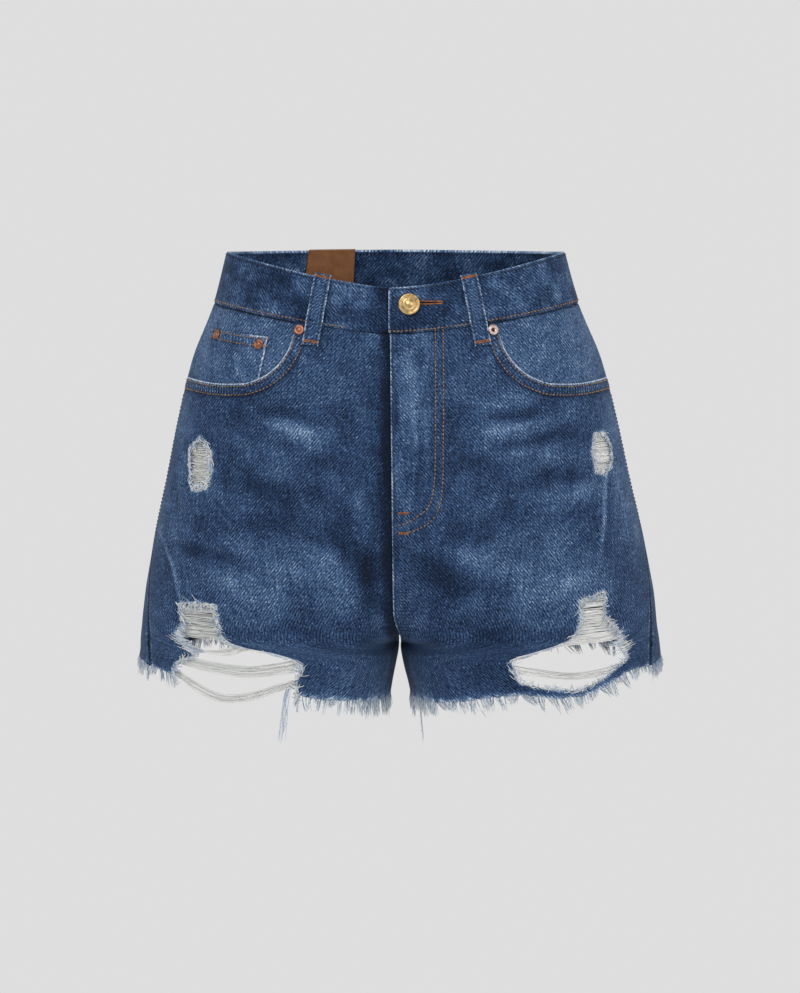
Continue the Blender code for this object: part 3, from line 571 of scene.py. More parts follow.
def attribute(mesh, name, values, kind="FLOAT"):
    made = mesh.attributes.new(name, kind, "POINT")
    key = "vector" if kind == "FLOAT_VECTOR" else "value"
    made.data.foreach_set(key, np.asarray(values, np.float32).ravel())


def side_place(side, half):
    """Lays a piece's flat (s, t) on one side of one half of the form."""
    return lambda st: (side, half, *unflat(half, st))


def cloth(
    name, place, loops, step, thick, out, look=None, finish="washed_denim", reverse="denim_reverse", cut=None,
    round_by=0.35
):
    """A cloth piece from its flat outline and holes. out(st) is its outer face's distance off the form.

    look(st, x, z, edge) gives a dict of the finish's values and the relief of its folds."""
    low, high = loops[0].min(0) - step, loops[0].max(0) + step
    cols = int((high[0] - low[0]) / step) + 2
    rows = int((high[1] - low[1]) / step) + 2
    grid_s, grid_t = np.meshgrid(low[0] + np.arange(cols) * step, low[1] + np.arange(rows) * step)
    st = np.column_stack([grid_s.ravel(), grid_t.ravel()])
    corner = (np.arange(rows - 1)[:, None] * cols + np.arange(cols - 1)).ravel()
    faces = np.column_stack([corner, corner + 1, corner + cols + 1, corner + cols])
    middle = st[faces].mean(1)
    keep = inside(middle, loops[0])
    for hole in loops[1:]:
        keep &= ~inside(middle, hole)
    faces = faces[keep]
    ends = np.sort(
        np.concatenate([faces[:, [0, 1]], faces[:, [1, 2]], faces[:, [2, 3]], faces[:, [3, 0]]]), axis=1
    )
    single, count = np.unique(ends, axis=0, return_counts=True)
    rim = np.unique(single[count == 1])
    best = np.full(len(rim), 1e9)
    spot = np.zeros((len(rim), 2))
    for loop in loops:
        apart, _, here = near(st[rim], loop, closed=True)
        spot[apart < best] = here[apart < best]
        best = np.minimum(best, apart)
    st[rim] = spot
    edge = np.full(len(st), 1e9)
    for loop in loops:
        edge = np.minimum(edge, near(st, loop, closed=True)[0])
    side, half, u, w = place(st)
    form, _ = on_form(half, u, w)
    # deep holds painted shade that darkens the finish; edge holds pale wear.
    values = {key: np.zeros(len(st)) for key in ("fade", "edge", "deep", "run", "pucker", "relief")}
    if look:
        values.update(look(st, form[:, 0], form[:, 2], edge))
    round_off = round_by * (1 - np.sqrt(np.clip(1 - np.clip(1 - edge / 1.4, 0, 1) ** 2, 0, 1)))
    lift = out(st) + values.pop("relief") - round_off
    world, direction = put(side, half, u, w, lift)
    used, index = np.unique(faces, return_inverse=True)
    faces = index.reshape(-1, 4)
    made = mesh_object(name + "_cloth", world[used], faces)
    mesh = made.data
    mesh.update()
    facing = np.array([mesh.polygons[i].normal for i in range(0, len(faces), 37)])
    wanted = direction[used][faces[::37, 0]]
    if (facing * wanted).sum() < 0:
        mesh.flip_normals()
    for key, value in values.items():
        attribute(mesh, key, np.broadcast_to(value, len(st))[used])
    uv = mesh.uv_layers.new(name="UVMap")
    corners = np.zeros(len(mesh.loops), np.int32)
    mesh.loops.foreach_get("vertex_index", corners)
    uv.data.foreach_set("uv", (st[used][corners] * MM).astype(np.float32).ravel())
    mesh.polygons.foreach_set("use_smooth", np.ones(len(mesh.polygons), bool))
    mesh.materials.append(material(finish))
    mesh.materials.append(material(reverse))
    wall = made.modifiers.new("thickness", "SOLIDIFY")
    wall.thickness, wall.offset = thick * MM, -1
    wall.material_offset = wall.material_offset_rim = 1
    PIECES[name] = {"low": low, "step": step, "lift": lift.reshape(rows, cols), "place": place}
    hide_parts(name)
    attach(made, "root")
    return made


def surface(name, st, above=0.0):
    """World places and directions on a finished cloth piece's face."""
    piece = PIECES[name]
    k = (st - piece["low"]) / piece["step"]
    rows, cols = piece["lift"].shape
    i = np.clip(k[:, 1].astype(int), 0, rows - 2)
    j = np.clip(k[:, 0].astype(int), 0, cols - 2)
    a, b = np.clip(k[:, 1] - i, 0, 1), np.clip(k[:, 0] - j, 0, 1)
    g = piece["lift"]
    lift = (g[i, j] * (1 - b) + g[i, j + 1] * b) * (1 - a) + (g[i + 1, j] * (1 - b) + g[i + 1, j + 1] * b) * a
    return put(*piece["place"](st), lift + above)


def straight(half, *ends):
    """A flat line through points given by (u, w), following the form's rows between them."""
    parts = []
    for a, b in zip(ends, ends[1:]):
        t = np.linspace(0, 1, 24)[:, None]
        parts.append(np.array(a) * (1 - t) + np.array(b) * t)
    line = np.vstack(parts)
    return flat(half, line[:, 0], line[:, 1])


# Drawn on the front in x (toward the side) and z.
MOUTH = [(78, -37.5), (80.5, -46), (84.5, -57), (96.5, -72), (112.5, -80.5), (128, -83), (145, -82.5)]
MOUTH_END = (0.93, 2.28), (1.0, 2.30)
COIN_POCKET = [
    (146, -39), (124, -43.5), (100.5, -46), (103.5, -60), (107, -75), (110, -92), (133, -98), (157, -93),
    (154, -79), (150, -58)
]
TEAR_RIGHT = [
    (154, -125), (163, -135), (162.5, -151), (161, -166), (149, -164.5), (144.5, -150), (145, -136),
    (150, -128)
]
TEAR_LEFT = [(153, -122.5), (151, -136), (154, -152), (162, -154), (167.5, -145), (167, -132), (161.5, -122)]
RIP_RIGHT = [(176, -318), (175, -300), (174.5, -279), (166.5, -268), (171.5, -254), (156, -252), (142, -254)]
RIP_RIGHT += [(140, -267), (134, -281), (120, -286), (97, -290), (84, -294), (80, -313), (79.5, -335)]
RIP_LEFT = [
    (139, -250), (140, -265.5), (126.5, -282), (110, -287.5), (94, -292), (86.5, -298), (91.5, -313),
    (116, -318.5)
]
RIP_LEFT += [
    (139, -320.5), (158, -312), (178, -297), (177, -292), (170.5, -277), (158.5, -263), (158.5, -244)
]
HEM_RIGHT = [(0.0, 9.0), (0.39, 9.0), (0.5, 8.9), (0.545, 8.75), (0.88, 8.9), (1.0, 9.0)]
HEM_LEFT = [
    (0.0, 9.0), (0.25, 9.0), (0.39, 9.05), (0.5, 8.88), (0.58, 8.9), (0.65, 9.2), (0.74, 9.5), (0.80, 9.3),
    (0.91, 8.8), (1.0, 9.0)
]
FLY_OUTER = [
    (36, -41), (35.8, -90), (35, -125), (34.6, -150), (33, -170), (29, -182), (22.6, -189), (15.5, -193),
    (8.7, -195.4), (-3, -197)
]
FLY_INNER = [
    (30, -41), (29.6, -90), (29, -125), (28.4, -150), (26.4, -167), (22.5, -177), (16.5, -182), (11, -186),
    (5, -189), (-3, -191)
]
YOKE_MIDDLE, YOKE_SIDE = 2.25, 1.65
BACK_POCKET = [(0.19, 2.95), (0.66, 2.78), (0.63, 4.75), (0.435, 5.15), (0.235, 4.85)]

# Creases and fades on each front: ends in x and z, half width, depth (+ is a ridge), tone (+ is paler).
CREASES_RIGHT = [
    (112, -104, 52, -115, 5, -0.7, -0.10),
    (108, -112, 46, -124, 8, 0.5, 0.07),
    (150, -118, 60, -150, 12, 0.6, 0.05),
    (138, -158, 40, -166, 9, -0.6, -0.08),
    (178, -190, 120, -212, 7, 0.7, 0.05),
    (176, -204, 112, -226, 5, -0.8, -0.09),
    (130, -186, 30, -206, 11, -0.7, -0.09),
    (120, -222, 24, -246, 12, 0.6, 0.04),
    (60, -196, 14, -232, 9, -0.9, -0.10),
    (40, -160, 10, -205, 7, 0.8, 0.05),
    (26, -205, 16, -262, 6, -0.9, -0.12),
    (130, -262, 40, -276, 8, -0.5, -0.04),
    (186, -196, 168, -276, 1.8, 0.8, 0.16),
    (178, -150, 176, -196, 4, -0.5, -0.06),
]
CREASES_LEFT = [
    (66, -106, 124, -101, 4.5, -0.7, -0.11),
    (60, -97, 110, -92, 7, 0.5, 0.06),
    (58, -118, 145, -110, 7, 0.6, 0.08),
    (84, -130, 150, -124, 5, -0.6, -0.08),
    (70, -142, 140, -134, 7, 0.5, 0.07),
    (96, -158, 158, -148, 5, -0.6, -0.07),
    (84, -170, 158, -160, 7, 0.5, 0.06),
    (110, -184, 166, -178, 6, -0.6, -0.06),
    (60, -196, 150, -196, 13, 0.4, 0.03),
    (30, -200, 80, -196, 10, -0.6, -0.08),
    (18, -214, 50, -250, 12, -0.9, -0.13),
    (46, -226, 110, -222, 12, 0.5, 0.05),
    (40, -262, 96, -280, 9, -0.6, -0.08),
    (168, -142, 158, -226, 2.0, 0.9, 0.17),
    (178, -170, 172, -250, 5, -0.6, -0.05),
]
# Pale and dark areas: middle in x and z, reach each way, tone.
FADES_RIGHT = [
    (98, -240, 48, 34, 0.13),
    (120, -140, 40, 26, 0.02),
    (100, -100, 50, 14, -0.05),
    (30, -235, 16, 40, -0.11),
    (60, -130, 34, 30, 0.03),
    (172, -240, 14, 50, 0.03),
    (150, -205, 22, 26, -0.04),
    # This dark strip beside the middle line is painted shadow from the fly's lap.
    (12, -150, 10, 70, -0.16),
    (40, -315, 40, 16, 0.05),
    (120, -190, 34, 16, -0.05),
]
FADES_LEFT = [
    (112, -232, 46, 26, 0.13),
    (120, -132, 44, 34, 0.07),
    (182, -150, 16, 60, 0.10),
    (30, -240, 22, 34, -0.10),
    (62, -300, 42, 18, -0.07),
    (150, -250, 26, 22, 0.08),
    (70, -170, 34, 22, -0.03),
    (12, -90, 5, 45, 0.16),
    (22, -105, 4, 40, 0.11),
    (4, -120, 3, 50, 0.07),
    (17, -150, 8, 16, -0.08),
    (140, -318, 40, 10, 0.06),
]


def creases(x, z, table):
    """Height and tone of soft creases: each dips or rises along its line and fades at its ends."""
    height, tone = np.zeros(len(x)), np.zeros(len(x))
    for k, (x1, z1, x2, z2, wide, depth, tint) in enumerate(table):
        d = np.array([x2 - x1, z2 - z1], float)
        length = math.hypot(*d)
        along = ((x - x1) * d[0] + (z - z1) * d[1]) / length
        off = ((x - x1) * -d[1] + (z - z1) * d[0]) / length
        bend = 0.05 * length * np.sin(along / length * 2.6 + k) + 1.2 * np.sin(along / 11 + 2 * k)
        off = off + bend
        ends = smooth((along + 6) / (0.3 * length + 6)) * smooth((length + 6 - along) / (0.3 * length + 6))
        swell = wide * (0.75 + 0.5 * smooth(along / length))
        line = np.exp(-((off / swell) ** 2)) * ends
        beside = np.exp(-(((off - 2.1 * swell) / (1.3 * swell)) ** 2)) * ends
        height += depth * line - 0.45 * depth * beside
        tone += 1.6 * (tint * line - 0.3 * tint * beside)
    return height, tone


def fades(x, z, table):
    found = np.zeros(len(x))
    for mx, mz, rx, rz, tone in table:
        found += tone * np.exp(-(((x - mx) / rx) ** 2) - ((z - mz) / rz) ** 2)
    return found


def swell(x, z, seed):
    """Slow uneven billows of cloth that hangs free, in millimetres."""
    p = np.column_stack([x, z])
    return 0.9 * noise(p, 58, seed) + 0.45 * noise(p, 27, seed + 1) + 0.16 * noise(p, 11, seed + 2)


def mouth_line():
    line = on_front(curve(MOUTH, 3)[:-3])
    return curve(np.vstack([line[::2], on_front([(145, -82.5)]), flat(FRONT, *np.array(MOUTH_END).T)]), 4)


def hem_row(side, u):
    return np.interp(u, *np.array(HEM_RIGHT if side < 0 else HEM_LEFT).T)


def front_edge(side, w):
    """The front's middle edge, in millimetres past the middle line."""
    past = -5.0 if side > 0 else 0.5
    share = 1 - smooth((w - 6.2) / 0.9)
    return past * share + 0.25 * (1 - share)


def front_loops(side):
    """The flat outline and holes of a front, with torn edges."""
    mouth = mouth_line()
    top = 1.006
    down = np.linspace(2.32, float(hem_row(side, 1.0)), 60)
    seam = flat(FRONT, np.full(60, 1.0), down) - (0.25, 0)
    u = np.linspace(0.999, 0.001, 240)
    if side < 0:
        u = u[(u > 0.888) | (u < 0.543)]
    hem = flat(FRONT, u, hem_row(side, u))
    run = hem[:, 0]
    hem[:, 1] += 0.9 * noise(np.column_stack([run, run * 0]), 4.0, 21 + side) + 0.7 * noise(
        np.column_stack([run, run * 0]), 1.6, 31 + side
    )
    if side < 0:
        rip = spaced(on_front(RIP_RIGHT), 0.9)
        rip = shifted(rip, 0.8 * noise(np.column_stack([np.arange(len(rip)), np.zeros(len(rip))]), 3.0, 5))
        hem = np.vstack([hem[u > 0.88], rip[2:-2], hem[u < 0.55]])
    up = np.linspace(9.0, top, 110)
    middle = np.column_stack([front_edge(side, up), np.interp(up, FORM_ROWS, FORM_DOWN[FRONT])])
    start = mouth[0].copy()
    start[1] = middle[-1, 1]
    waist = np.linspace(middle[-1], start, 40)
    outline = np.vstack([waist[:-1], start[None], mouth[1:-1], seam, hem, middle[1:-1]])
    holes = [ragged(on_front(TEAR_RIGHT if side < 0 else TEAR_LEFT), 0.6, 8)]
    if side > 0:
        holes.append(ragged(on_front(RIP_LEFT), 0.8, 9))
    return [outline] + holes


def front_out(side):
    """The right front sinks beneath the left one along the middle."""

    def out(st):
        w = unflat(FRONT, st)[1]
        if side > 0:
            return np.zeros(len(st))
        return -2.2 * (1 - smooth((w - 7.1) / 0.6)) * (1 - smooth((st[:, 0] - 13) / 13))

    return out


def front_look(side):
    mouth = mouth_line()
    table, areas = (CREASES_LEFT, FADES_LEFT) if side > 0 else (CREASES_RIGHT, FADES_RIGHT)
    tears = [on_front(TEAR_LEFT), on_front(RIP_LEFT)] if side > 0 else [
        on_front(TEAR_RIGHT), on_front(RIP_RIGHT)
    ]

    def look(st, x, z, edge):
        w = unflat(FRONT, st)[1]
        height, tone = creases(x, z, table)
        tone = tone + fades(x, z, areas)
        calm = smooth(edge / 14)
        height = (height + swell(x, z, 40 + side)) * calm
        from_mouth, run, _ = near(st, mouth)
        from_side = width(FRONT, w) - st[:, 0]
        seam_run = st[:, 1]
        pocket = (from_mouth < 9.5) & (st[:, 1] < mouth[-1, 1] + 11)
        toward_side = smooth((run - 40) / 80)
        pucker = np.where(
            pocket, smooth(from_mouth / 2.5) * smooth((9.8 - from_mouth) / 2) * (0.35 + 0.75 * toward_side), 0
        )
        along = np.where(pocket, run, seam_run)
        below = st[:, 1] > mouth[-1, 1] + 8
        side_pucker = 0.5 * smooth((7 - from_side) / 4) * below
        pucker = np.maximum(pucker, side_pucker)
        height += np.where(pocket, 0.35 * smooth(from_mouth / 2) * smooth((9 - from_mouth) / 1.2), 0)
        height -= 0.35 * np.exp(-(((from_mouth - 2.3) / 0.7) ** 2)) + 0.35 * np.exp(
            -(((from_mouth - 8.6) / 0.8) ** 2)
        )
        worn = 1.15 * np.exp(-((from_mouth / 1.1) ** 2)) * (0.5 + 0.5 * smooth(run / 25))
        # Painted shade in the grooves of the pocket mouth's two stitch rows.
        deep = 0.55 * np.exp(-(((from_mouth - 9.8) / 1.6) ** 2)) + 0.35 * np.exp(
            -(((from_mouth - 2.6) / 0.8) ** 2)
        )
        # Painted shade in the side seam's groove.
        deep += 1.1 * np.exp(-((from_side / 1.3) ** 2))
        worn += 0.55 * np.exp(-(((from_side - 2.9) / 1.1) ** 2)) * (0.6 + 0.4 * noise(st, 9, 3))
        for k, tear in enumerate(tears):
            apart = near(st, tear, closed=(side > 0 or k == 0))[0]
            worn += 0.75 * np.exp(-((apart / 1.7) ** 2)) * (1 + 0.5 * noise(st, 2.5, 12))
            height += 0.5 * np.exp(-((apart / 2.2) ** 2)) * (0.3 + noise(st, 4, 13))
        from_hem = np.interp(
            hem_row(side, st[:, 0] / width(FRONT, w)), FORM_ROWS, FORM_DOWN[FRONT]
        ) - st[:, 1]
        worn += 0.9 * np.exp(-((np.clip(from_hem, 0, None) / 2.6) ** 2)) * (0.7 + 0.6 * noise(st, 5, 14))
        height += 1.0 * noise(st, 15, 15) * np.exp(-((from_hem / 12) ** 2))
        if side > 0:
            past = st[:, 0] - front_edge(side, w)
            fold = smooth((7.5 - w) / 0.5)
            worn += 0.95 * np.exp(-(((past - 0.2) / 0.8) ** 2)) * fold * (0.8 + 0.4 * noise(st, 6, 17))
            # Painted shade in the groove of the stitch row beside the fly's fold edge.
            deep += 0.35 * np.exp(-(((past - 1.9) / 0.6) ** 2)) * fold
            for line in (FLY_OUTER, FLY_INNER):
                apart = near(st, on_front(curve(line, 2)[:-1]))[0]
                height -= 0.22 * np.exp(-((apart / 0.8) ** 2))
                # Painted shade in the grooves of the fly stitching.
                deep += 0.12 * np.exp(-((apart / 1.3) ** 2))
            streaks = noise(np.column_stack([st[:, 0] * 9, st[:, 1]]), 34, 18)
            tone += 0.09 * streaks * smooth((34 - st[:, 0]) / 6) * smooth((190 - st[:, 1]) / 30)
            pucker = np.maximum(
                pucker, 0.35 * smooth((7 - np.abs(st[:, 0] - 4)) / 3) * smooth((w - 5.2) / 0.3) * fold
            )
        else:
            # Painted shadow on the right front beside and beneath the left front's lap along the middle.
            deep += 1.3 * smooth((17 - st[:, 0]) / 12) * smooth((7.6 - w) / 0.4)
        # Painted shade along the crotch seam, below the fly.
        inner = smooth((w - 7.0) / 0.8)
        deep += 0.5 * inner * np.exp(-((st[:, 0] / 2.0) ** 2))
        tone += 0.06 * noise(st, 28, 19) + 0.06 * noise(st, 11, 20)
        return {"fade": tone, "edge": worn, "deep": deep, "run": along, "pucker": pucker, "relief": height}

    return look


def loop_of(*lines):
    """One closed loop from lines that follow each other."""
    return np.vstack([line[:-1] for line in lines])


def back_look(side, top_seam):
    """A plain washed back: paler on the seat, with painted shade beside its seams."""

    def look(st, x, z, edge):
        height = swell(x, z, 60 + side) * smooth(edge / 14)
        tone = 0.11 * np.exp(
            -(((x - 92) / 46) ** 2) - ((z + 165) / 60) ** 2
        ) - 0.05 * np.exp(-(((z + 270) / 40) ** 2))
        for x1, z1, x2, z2, wide, depth, tint in (
            (30, -214, 96, -226, 8, -1.0, -0.06), (24, -232, 90, -246, 7, 0.8, 0.04)
        ):
            more, shade = creases(x, z, [(x1, z1, x2, z2, wide, depth, tint)])
            height += more * smooth(edge / 10)
            tone += shade
        worn = 0.6 * np.exp(-(((edge - 2.2) / 1.0) ** 2)) * (0.6 + 0.5 * noise(st, 7, 33))
        # Painted shade along the seams at the piece's edges.
        deep = 0.9 * np.exp(-((edge / 1.1) ** 2))
        pucker = 0.45 * smooth((8 - edge) / 4) * smooth(edge / 1.5)
        return {
            "fade": tone, "edge": worn, "deep": deep, "run": st.sum(1), "pucker": pucker, "relief": height
        }

    return look


def plain_look(tone=0.0, edge_wear=0.0, seed=70):
    def look(st, x, z, edge):
        worn = edge_wear * np.exp(-((edge / 1.0) ** 2)) * (0.7 + 0.5 * noise(st, 4, seed))
        return {
            "fade": tone + 0.05 * noise(st, 22, seed + 1), "edge": worn,
            "relief": 0.12 * noise(st, 14, seed + 2)
        }

    return look


def coin_look(st, x, z, edge):
    """The coin pocket: a double-stitched hem, a pale inner edge, a white rubbed line and painted shade below the
    hem's lower stitch row.
    """
    worn = 0.8 * np.exp(-((edge / 1.0) ** 2)) * smooth((128 - x) / 20)
    rub = np.exp(-(((x - 128 - 4 * np.sin(z / 9)) / 2.4) ** 2)) * smooth((z + 84) / 8) * smooth((-54 - z) / 8)
    tone = 0.10 + 0.16 * rub * (0.7 + 0.6 * noise(st, 3, 80)) + 0.05 * noise(st, 14, 81)
    hem = near(st, on_front([(146, -39), (124, -43.5), (100.5, -46)]))[0]
    # Painted shade at the hem's lower stitch row and step.
    deep = 0.5 * np.exp(-(((hem - 8.6) / 0.9) ** 2))
    pucker = 0.5 * smooth(hem / 1.5) * smooth((8.8 - hem) / 1.5)
    return {
        "fade": tone, "edge": worn, "deep": deep, "run": x, "pucker": pucker, "relief": 0.25 * (hem < 8.5)
    }


# ---------------------------------------------------------------- the waistband


def round_waist(st):
    """Lays flat points round the whole waist: s is 160 for each quarter from the front middle, towards the
    left side."""
    a, w = st[:, 0] / BAND_QUARTER, st[:, 1] / BAND_HIGH
    side = np.where(a < 2, 1, -1)
    half = np.where((a > 1) & (a < 3), BACK, FRONT)
    u = np.where(a <= 1, a, np.where(a <= 2, 2 - a, np.where(a <= 3, a - 2, 4 - a)))
    return side, half, u, w


BAND_QUARTER, BAND_HIGH = 158.0, 41.0


def band_out(st):
    """The under end sinks beneath the buttoned one."""
    side, half, u, w = round_waist(st)
    d = u * width(FRONT, w)
    under = (st[:, 0] > 3 * BAND_QUARTER) * (1 - smooth((d - 12) / 30))
    return 0.3 - 3.1 * under


def band_look(st, x, z, edge):
    """Cloudy washed band with a pale worn top edge, a pale line at its lower seam, and painted shade along its
    lower edge, in its stitch rows and over the under end.
    """
    top, low = st[:, 1], BAND_HIGH - st[:, 1]
    worn = 0.85 * np.exp(-((top / 1.0) ** 2)) * (0.65 + 0.5 * noise(st, 10, 90))
    worn += 0.6 * np.exp(-(((low - 0.5) / 0.8) ** 2)) * (0.5 + 0.6 * noise(st, 8, 91))
    end = st[:, 0] + 5.5
    worn += 0.9 * np.exp(-(((end - 0.3) / 1.2) ** 2)) * (st[:, 0] < 40)
    # Painted shade along the lower seam, in the top stitch row and in the end's stitch row.
    deep = 0.5 * np.exp(-((low / 0.5) ** 2)) + 0.35 * np.exp(-(((top - 2.4) / 0.7) ** 2))
    deep += 0.3 * np.exp(-(((end - 2.4) / 0.7) ** 2)) * (st[:, 0] < 40)
    # Painted shadow over the under end, where the buttoned end laps it.
    under_lap_shadow = smooth((st[:, 0] - 3 * BAND_QUARTER) / 40) * smooth((st[:, 0] - 4 * BAND_QUARTER + 24) / 16)
    deep += 0.8 * under_lap_shadow
    tone = 0.16 * noise(st, 18, 92) + 0.12 * noise(st, 7, 93) - 0.03
    tone += 0.07 * smooth((st[:, 0] - 90) / 50) * (st[:, 0] < BAND_QUARTER * 1.2)
    pucker = 0.3 * smooth((8 - low) / 2) * smooth(low / 1.5) + 0.22 * smooth((6 - top) / 2)
    relief = 0.25 * noise(st, 24, 94) + 0.2 * smooth(top / 2) - 0.25 * np.exp(-(((top - 2.6) / 0.7) ** 2))
    relief -= 0.25 * np.exp(-(((low - 2.2) / 0.7) ** 2))
    return {
        "fade": tone, "edge": worn, "deep": deep, "run": st[:, 0], "pucker": pucker,
        "relief": relief * smooth(edge / 3)
    }


def band_loops():
    end, under = find(FRONT, [6], [-24])[0, 0], find(FRONT, [29], [-26])[0, 0]
    full = 4 * BAND_QUARTER
    scale = BAND_QUARTER / width(FRONT, 0.5)
    end, under = end * scale, under * scale
    low = BAND_HIGH - 0.25
    outline = [(-end * 0.55, 0)] + [(x, 0) for x in np.arange(4, full + under, 4)]
    outline += [(full + under, 0), (full + under, low)] + [
        (x, low) for x in np.arange(full + under - 4, -end, -4)
    ]
    outline += [(-end, low - 0.5), (-end, 6), (-end * 0.98, 3.4), (-end * 0.9, 1.6), (-end * 0.75, 0.5)]
    turn = np.radians(np.arange(24, 337, 12))
    eye = np.column_stack([10 + 3.5 * np.cos(turn), -21.3 + 3.5 * np.sin(turn)])
    slot = np.vstack([eye, [(20, -21.4), (30, -20.6), (31, -20.0), (30, -19.4), (20, -19.9)]])
    hole = find(FRONT, *slot.T)
    u, w = unflat(FRONT, hole)
    return [spaced(np.array(outline), 1.5, closed=True), np.column_stack([u * BAND_QUARTER, w * BAND_HIGH])]


def band_point(side, half, u, w):
    """Flat band coordinates of a place given by side, half, u and w."""
    a = {(1, 0): u, (1, 1): 2 - u, (-1, 1): 2 + u, (-1, 0): 4 - u}[(side, half)]
    return np.column_stack([a * BAND_QUARTER, np.asarray(w) * BAND_HIGH])


LOOPS = {
    "belt_loop_front_left": (LEFT, FRONT, (0.318, -0.06), (0.338, 1.38)),
    "belt_loop_front_right": (RIGHT, FRONT, (0.318, -0.06), (0.338, 1.38)),
    "belt_loop_side_back_left": (LEFT, BACK, (0.60, 0.02), (0.60, 1.34)),
    "belt_loop_side_back_right": (RIGHT, BACK, (0.60, 0.02), (0.60, 1.34)),
    "belt_loop_centre_back": (LEFT, BACK, (0.0, 0.02), (0.0, 1.34)),
}
LOOP_WIDE, LOOP_LONG = 13.0, 58.0


def loop_place(side, half, top, low):
    def place(st):
        share = st[:, 1] / LOOP_LONG
        u = top[0] + (low[0] - top[0]) * share
        w = top[1] + (low[1] - top[1]) * share
        return side, half, u + (st[:, 0] - LOOP_WIDE / 2) / width(half, w), w

    return place


def loop_out(st):
    lift = np.interp(
        st[:, 1] / LOOP_LONG, [0, 0.1, 0.24, 0.42, 0.6, 0.78, 0.9, 1],
        [1.1, 2.6, 3.6, 4.0, 4.0, 3.4, 1.9, 0.5]
    )
    return lift + 1.6


def loop_look(st, x, z, edge):
    """A belt loop: two folded edges that stand up, with frayed pale rims and painted shade in its stitch rows."""
    off = np.abs(st[:, 0] - LOOP_WIDE / 2)
    relief = 0.3 * smooth((off - 2.2) / 0.8) - 0.25 * np.exp(-(((off - 4.4) / 0.6) ** 2))
    worn = 1.0 * np.exp(-(((LOOP_WIDE / 2 - off) / 0.9) ** 2)) * (0.6 + 0.6 * noise(st, 4, 101))
    tone = 0.07 + 0.06 * noise(st, 9, 102)
    # Painted shade in the grooves of the two stitch rows.
    deep = 0.3 * np.exp(-(((off - 4.4) / 0.7) ** 2))
    return {
        "fade": tone, "edge": worn, "deep": deep, "run": st[:, 1], "pucker": 0.25 * np.ones(len(st)),
        "relief": relief
    }


def rectangle(half, u0, w0, u1, w1):
    return loop_of(
        straight(half, (u0, w0), (u1, w0)), straight(half, (u1, w0), (u1, w1)), straight(half, (u1, w1), (u0, w1)), straight(half, (u0, w1), (u0, w0))
    )


def level(value):
    return lambda st: np.full(len(st), float(value))


# ---------------------------------------------------------------- building each group


def side_cloth(name, side, half, loops, out, thick, step=2.2, look=None, **more):
    loops = loops if isinstance(loops, list) else [loops]
    off = out if callable(out) else level(out)
    made = cloth(name, side_place(side, half), loops, step, thick, off, look or plain_look(), **more)
    return made if "finish" not in more else made


def build_panels(thick):
    for side, word in ((LEFT, "left"), (RIGHT, "right")):
        side_cloth(
            "front_" + word, side, FRONT, front_loops(side), front_out(side), thick, 1.5, front_look(side)
        )
        yoke = loop_of(
            straight(BACK, (0.001, 1.006), (0.999, 1.006)),
            straight(BACK, (0.999, 1.006), (0.999, YOKE_SIDE - 0.006)),
            straight(BACK, (0.999, YOKE_SIDE - 0.006), (0.001, YOKE_MIDDLE - 0.006)),
            straight(BACK, (0.001, YOKE_MIDDLE - 0.006), (0.001, 1.006)),
        )
        side_cloth("back_yoke_" + word, side, BACK, yoke, 0, thick, 2.2, back_look(side, 0))
        hem = straight(BACK, (0.999, 9.0), (0.001, 9.0))
        hem = spaced(hem, 1.2)
        hem[:, 1] += 1.2 * noise(hem, 4, 55 + side)
        panel = loop_of(
            straight(BACK, (0.001, YOKE_MIDDLE + 0.006), (0.999, YOKE_SIDE + 0.006)),
            straight(BACK, (0.999, YOKE_SIDE + 0.006), (0.999, 9.0)),
            hem,
            straight(BACK, (0.001, 9.0), (0.001, YOKE_MIDDLE + 0.006)),
        )
        side_cloth("back_panel_" + word, side, BACK, panel, 0, thick, 2.4, back_look(side, 0))
        pocket = loop_of(
            *[straight(BACK, a, b) for a, b in zip(BACK_POCKET, BACK_POCKET[1:] + BACK_POCKET[:1])]
        )
        side_cloth("back_pocket_" + word, side, BACK, pocket, 2.4, thick, 1.8, plain_look(0.06, 0.8))


def rising(depth):
    """The facing lies this deep, and comes up level with the back where the side seam joins them."""

    def out(st):
        u = unflat(FRONT, st)[0]
        return depth * (1 - smooth((u - 0.9) / 0.08))

    return out


def build_pockets(thick, lining):
    for side, word, facing, bag in ((LEFT, "left", -1.7, -3.8), (RIGHT, "right", -3.1, -4.8)):
        under = on_front([(60, -70), (72, -88), (100, -104), (132, -109)])
        first = flat(FRONT, [unflat(FRONT, on_front([(59, -42)]))[0][0]], [1.006])
        ends = straight(FRONT, (0.998, 1.006), (0.998, 2.85))
        side_cloth(
            "pocket_facing_" + word, side, FRONT, np.vstack([first, ends, under[::-1]]), rising(facing),
            thick, 2.0, plain_look(0.13)
        )
        low = on_front([(54, -100), (56, -150), (70, -182), (100, -199), (140, -198), (163, -182)])
        first = flat(FRONT, [unflat(FRONT, on_front([(54, -42)]))[0][0]], [1.006])
        ends = straight(FRONT, (0.989, 1.006), (0.989, 3.6))
        made = side_cloth(
            "pocket_bag_" + word, side, FRONT, np.vstack([first, ends, low[::-1]]), bag, lining, 3.0, finish="white_cotton", reverse="white_cotton"
        )
    side_cloth("coin_pocket", RIGHT, FRONT, on_front(COIN_POCKET), -1.65, lining, 1.4, coin_look)


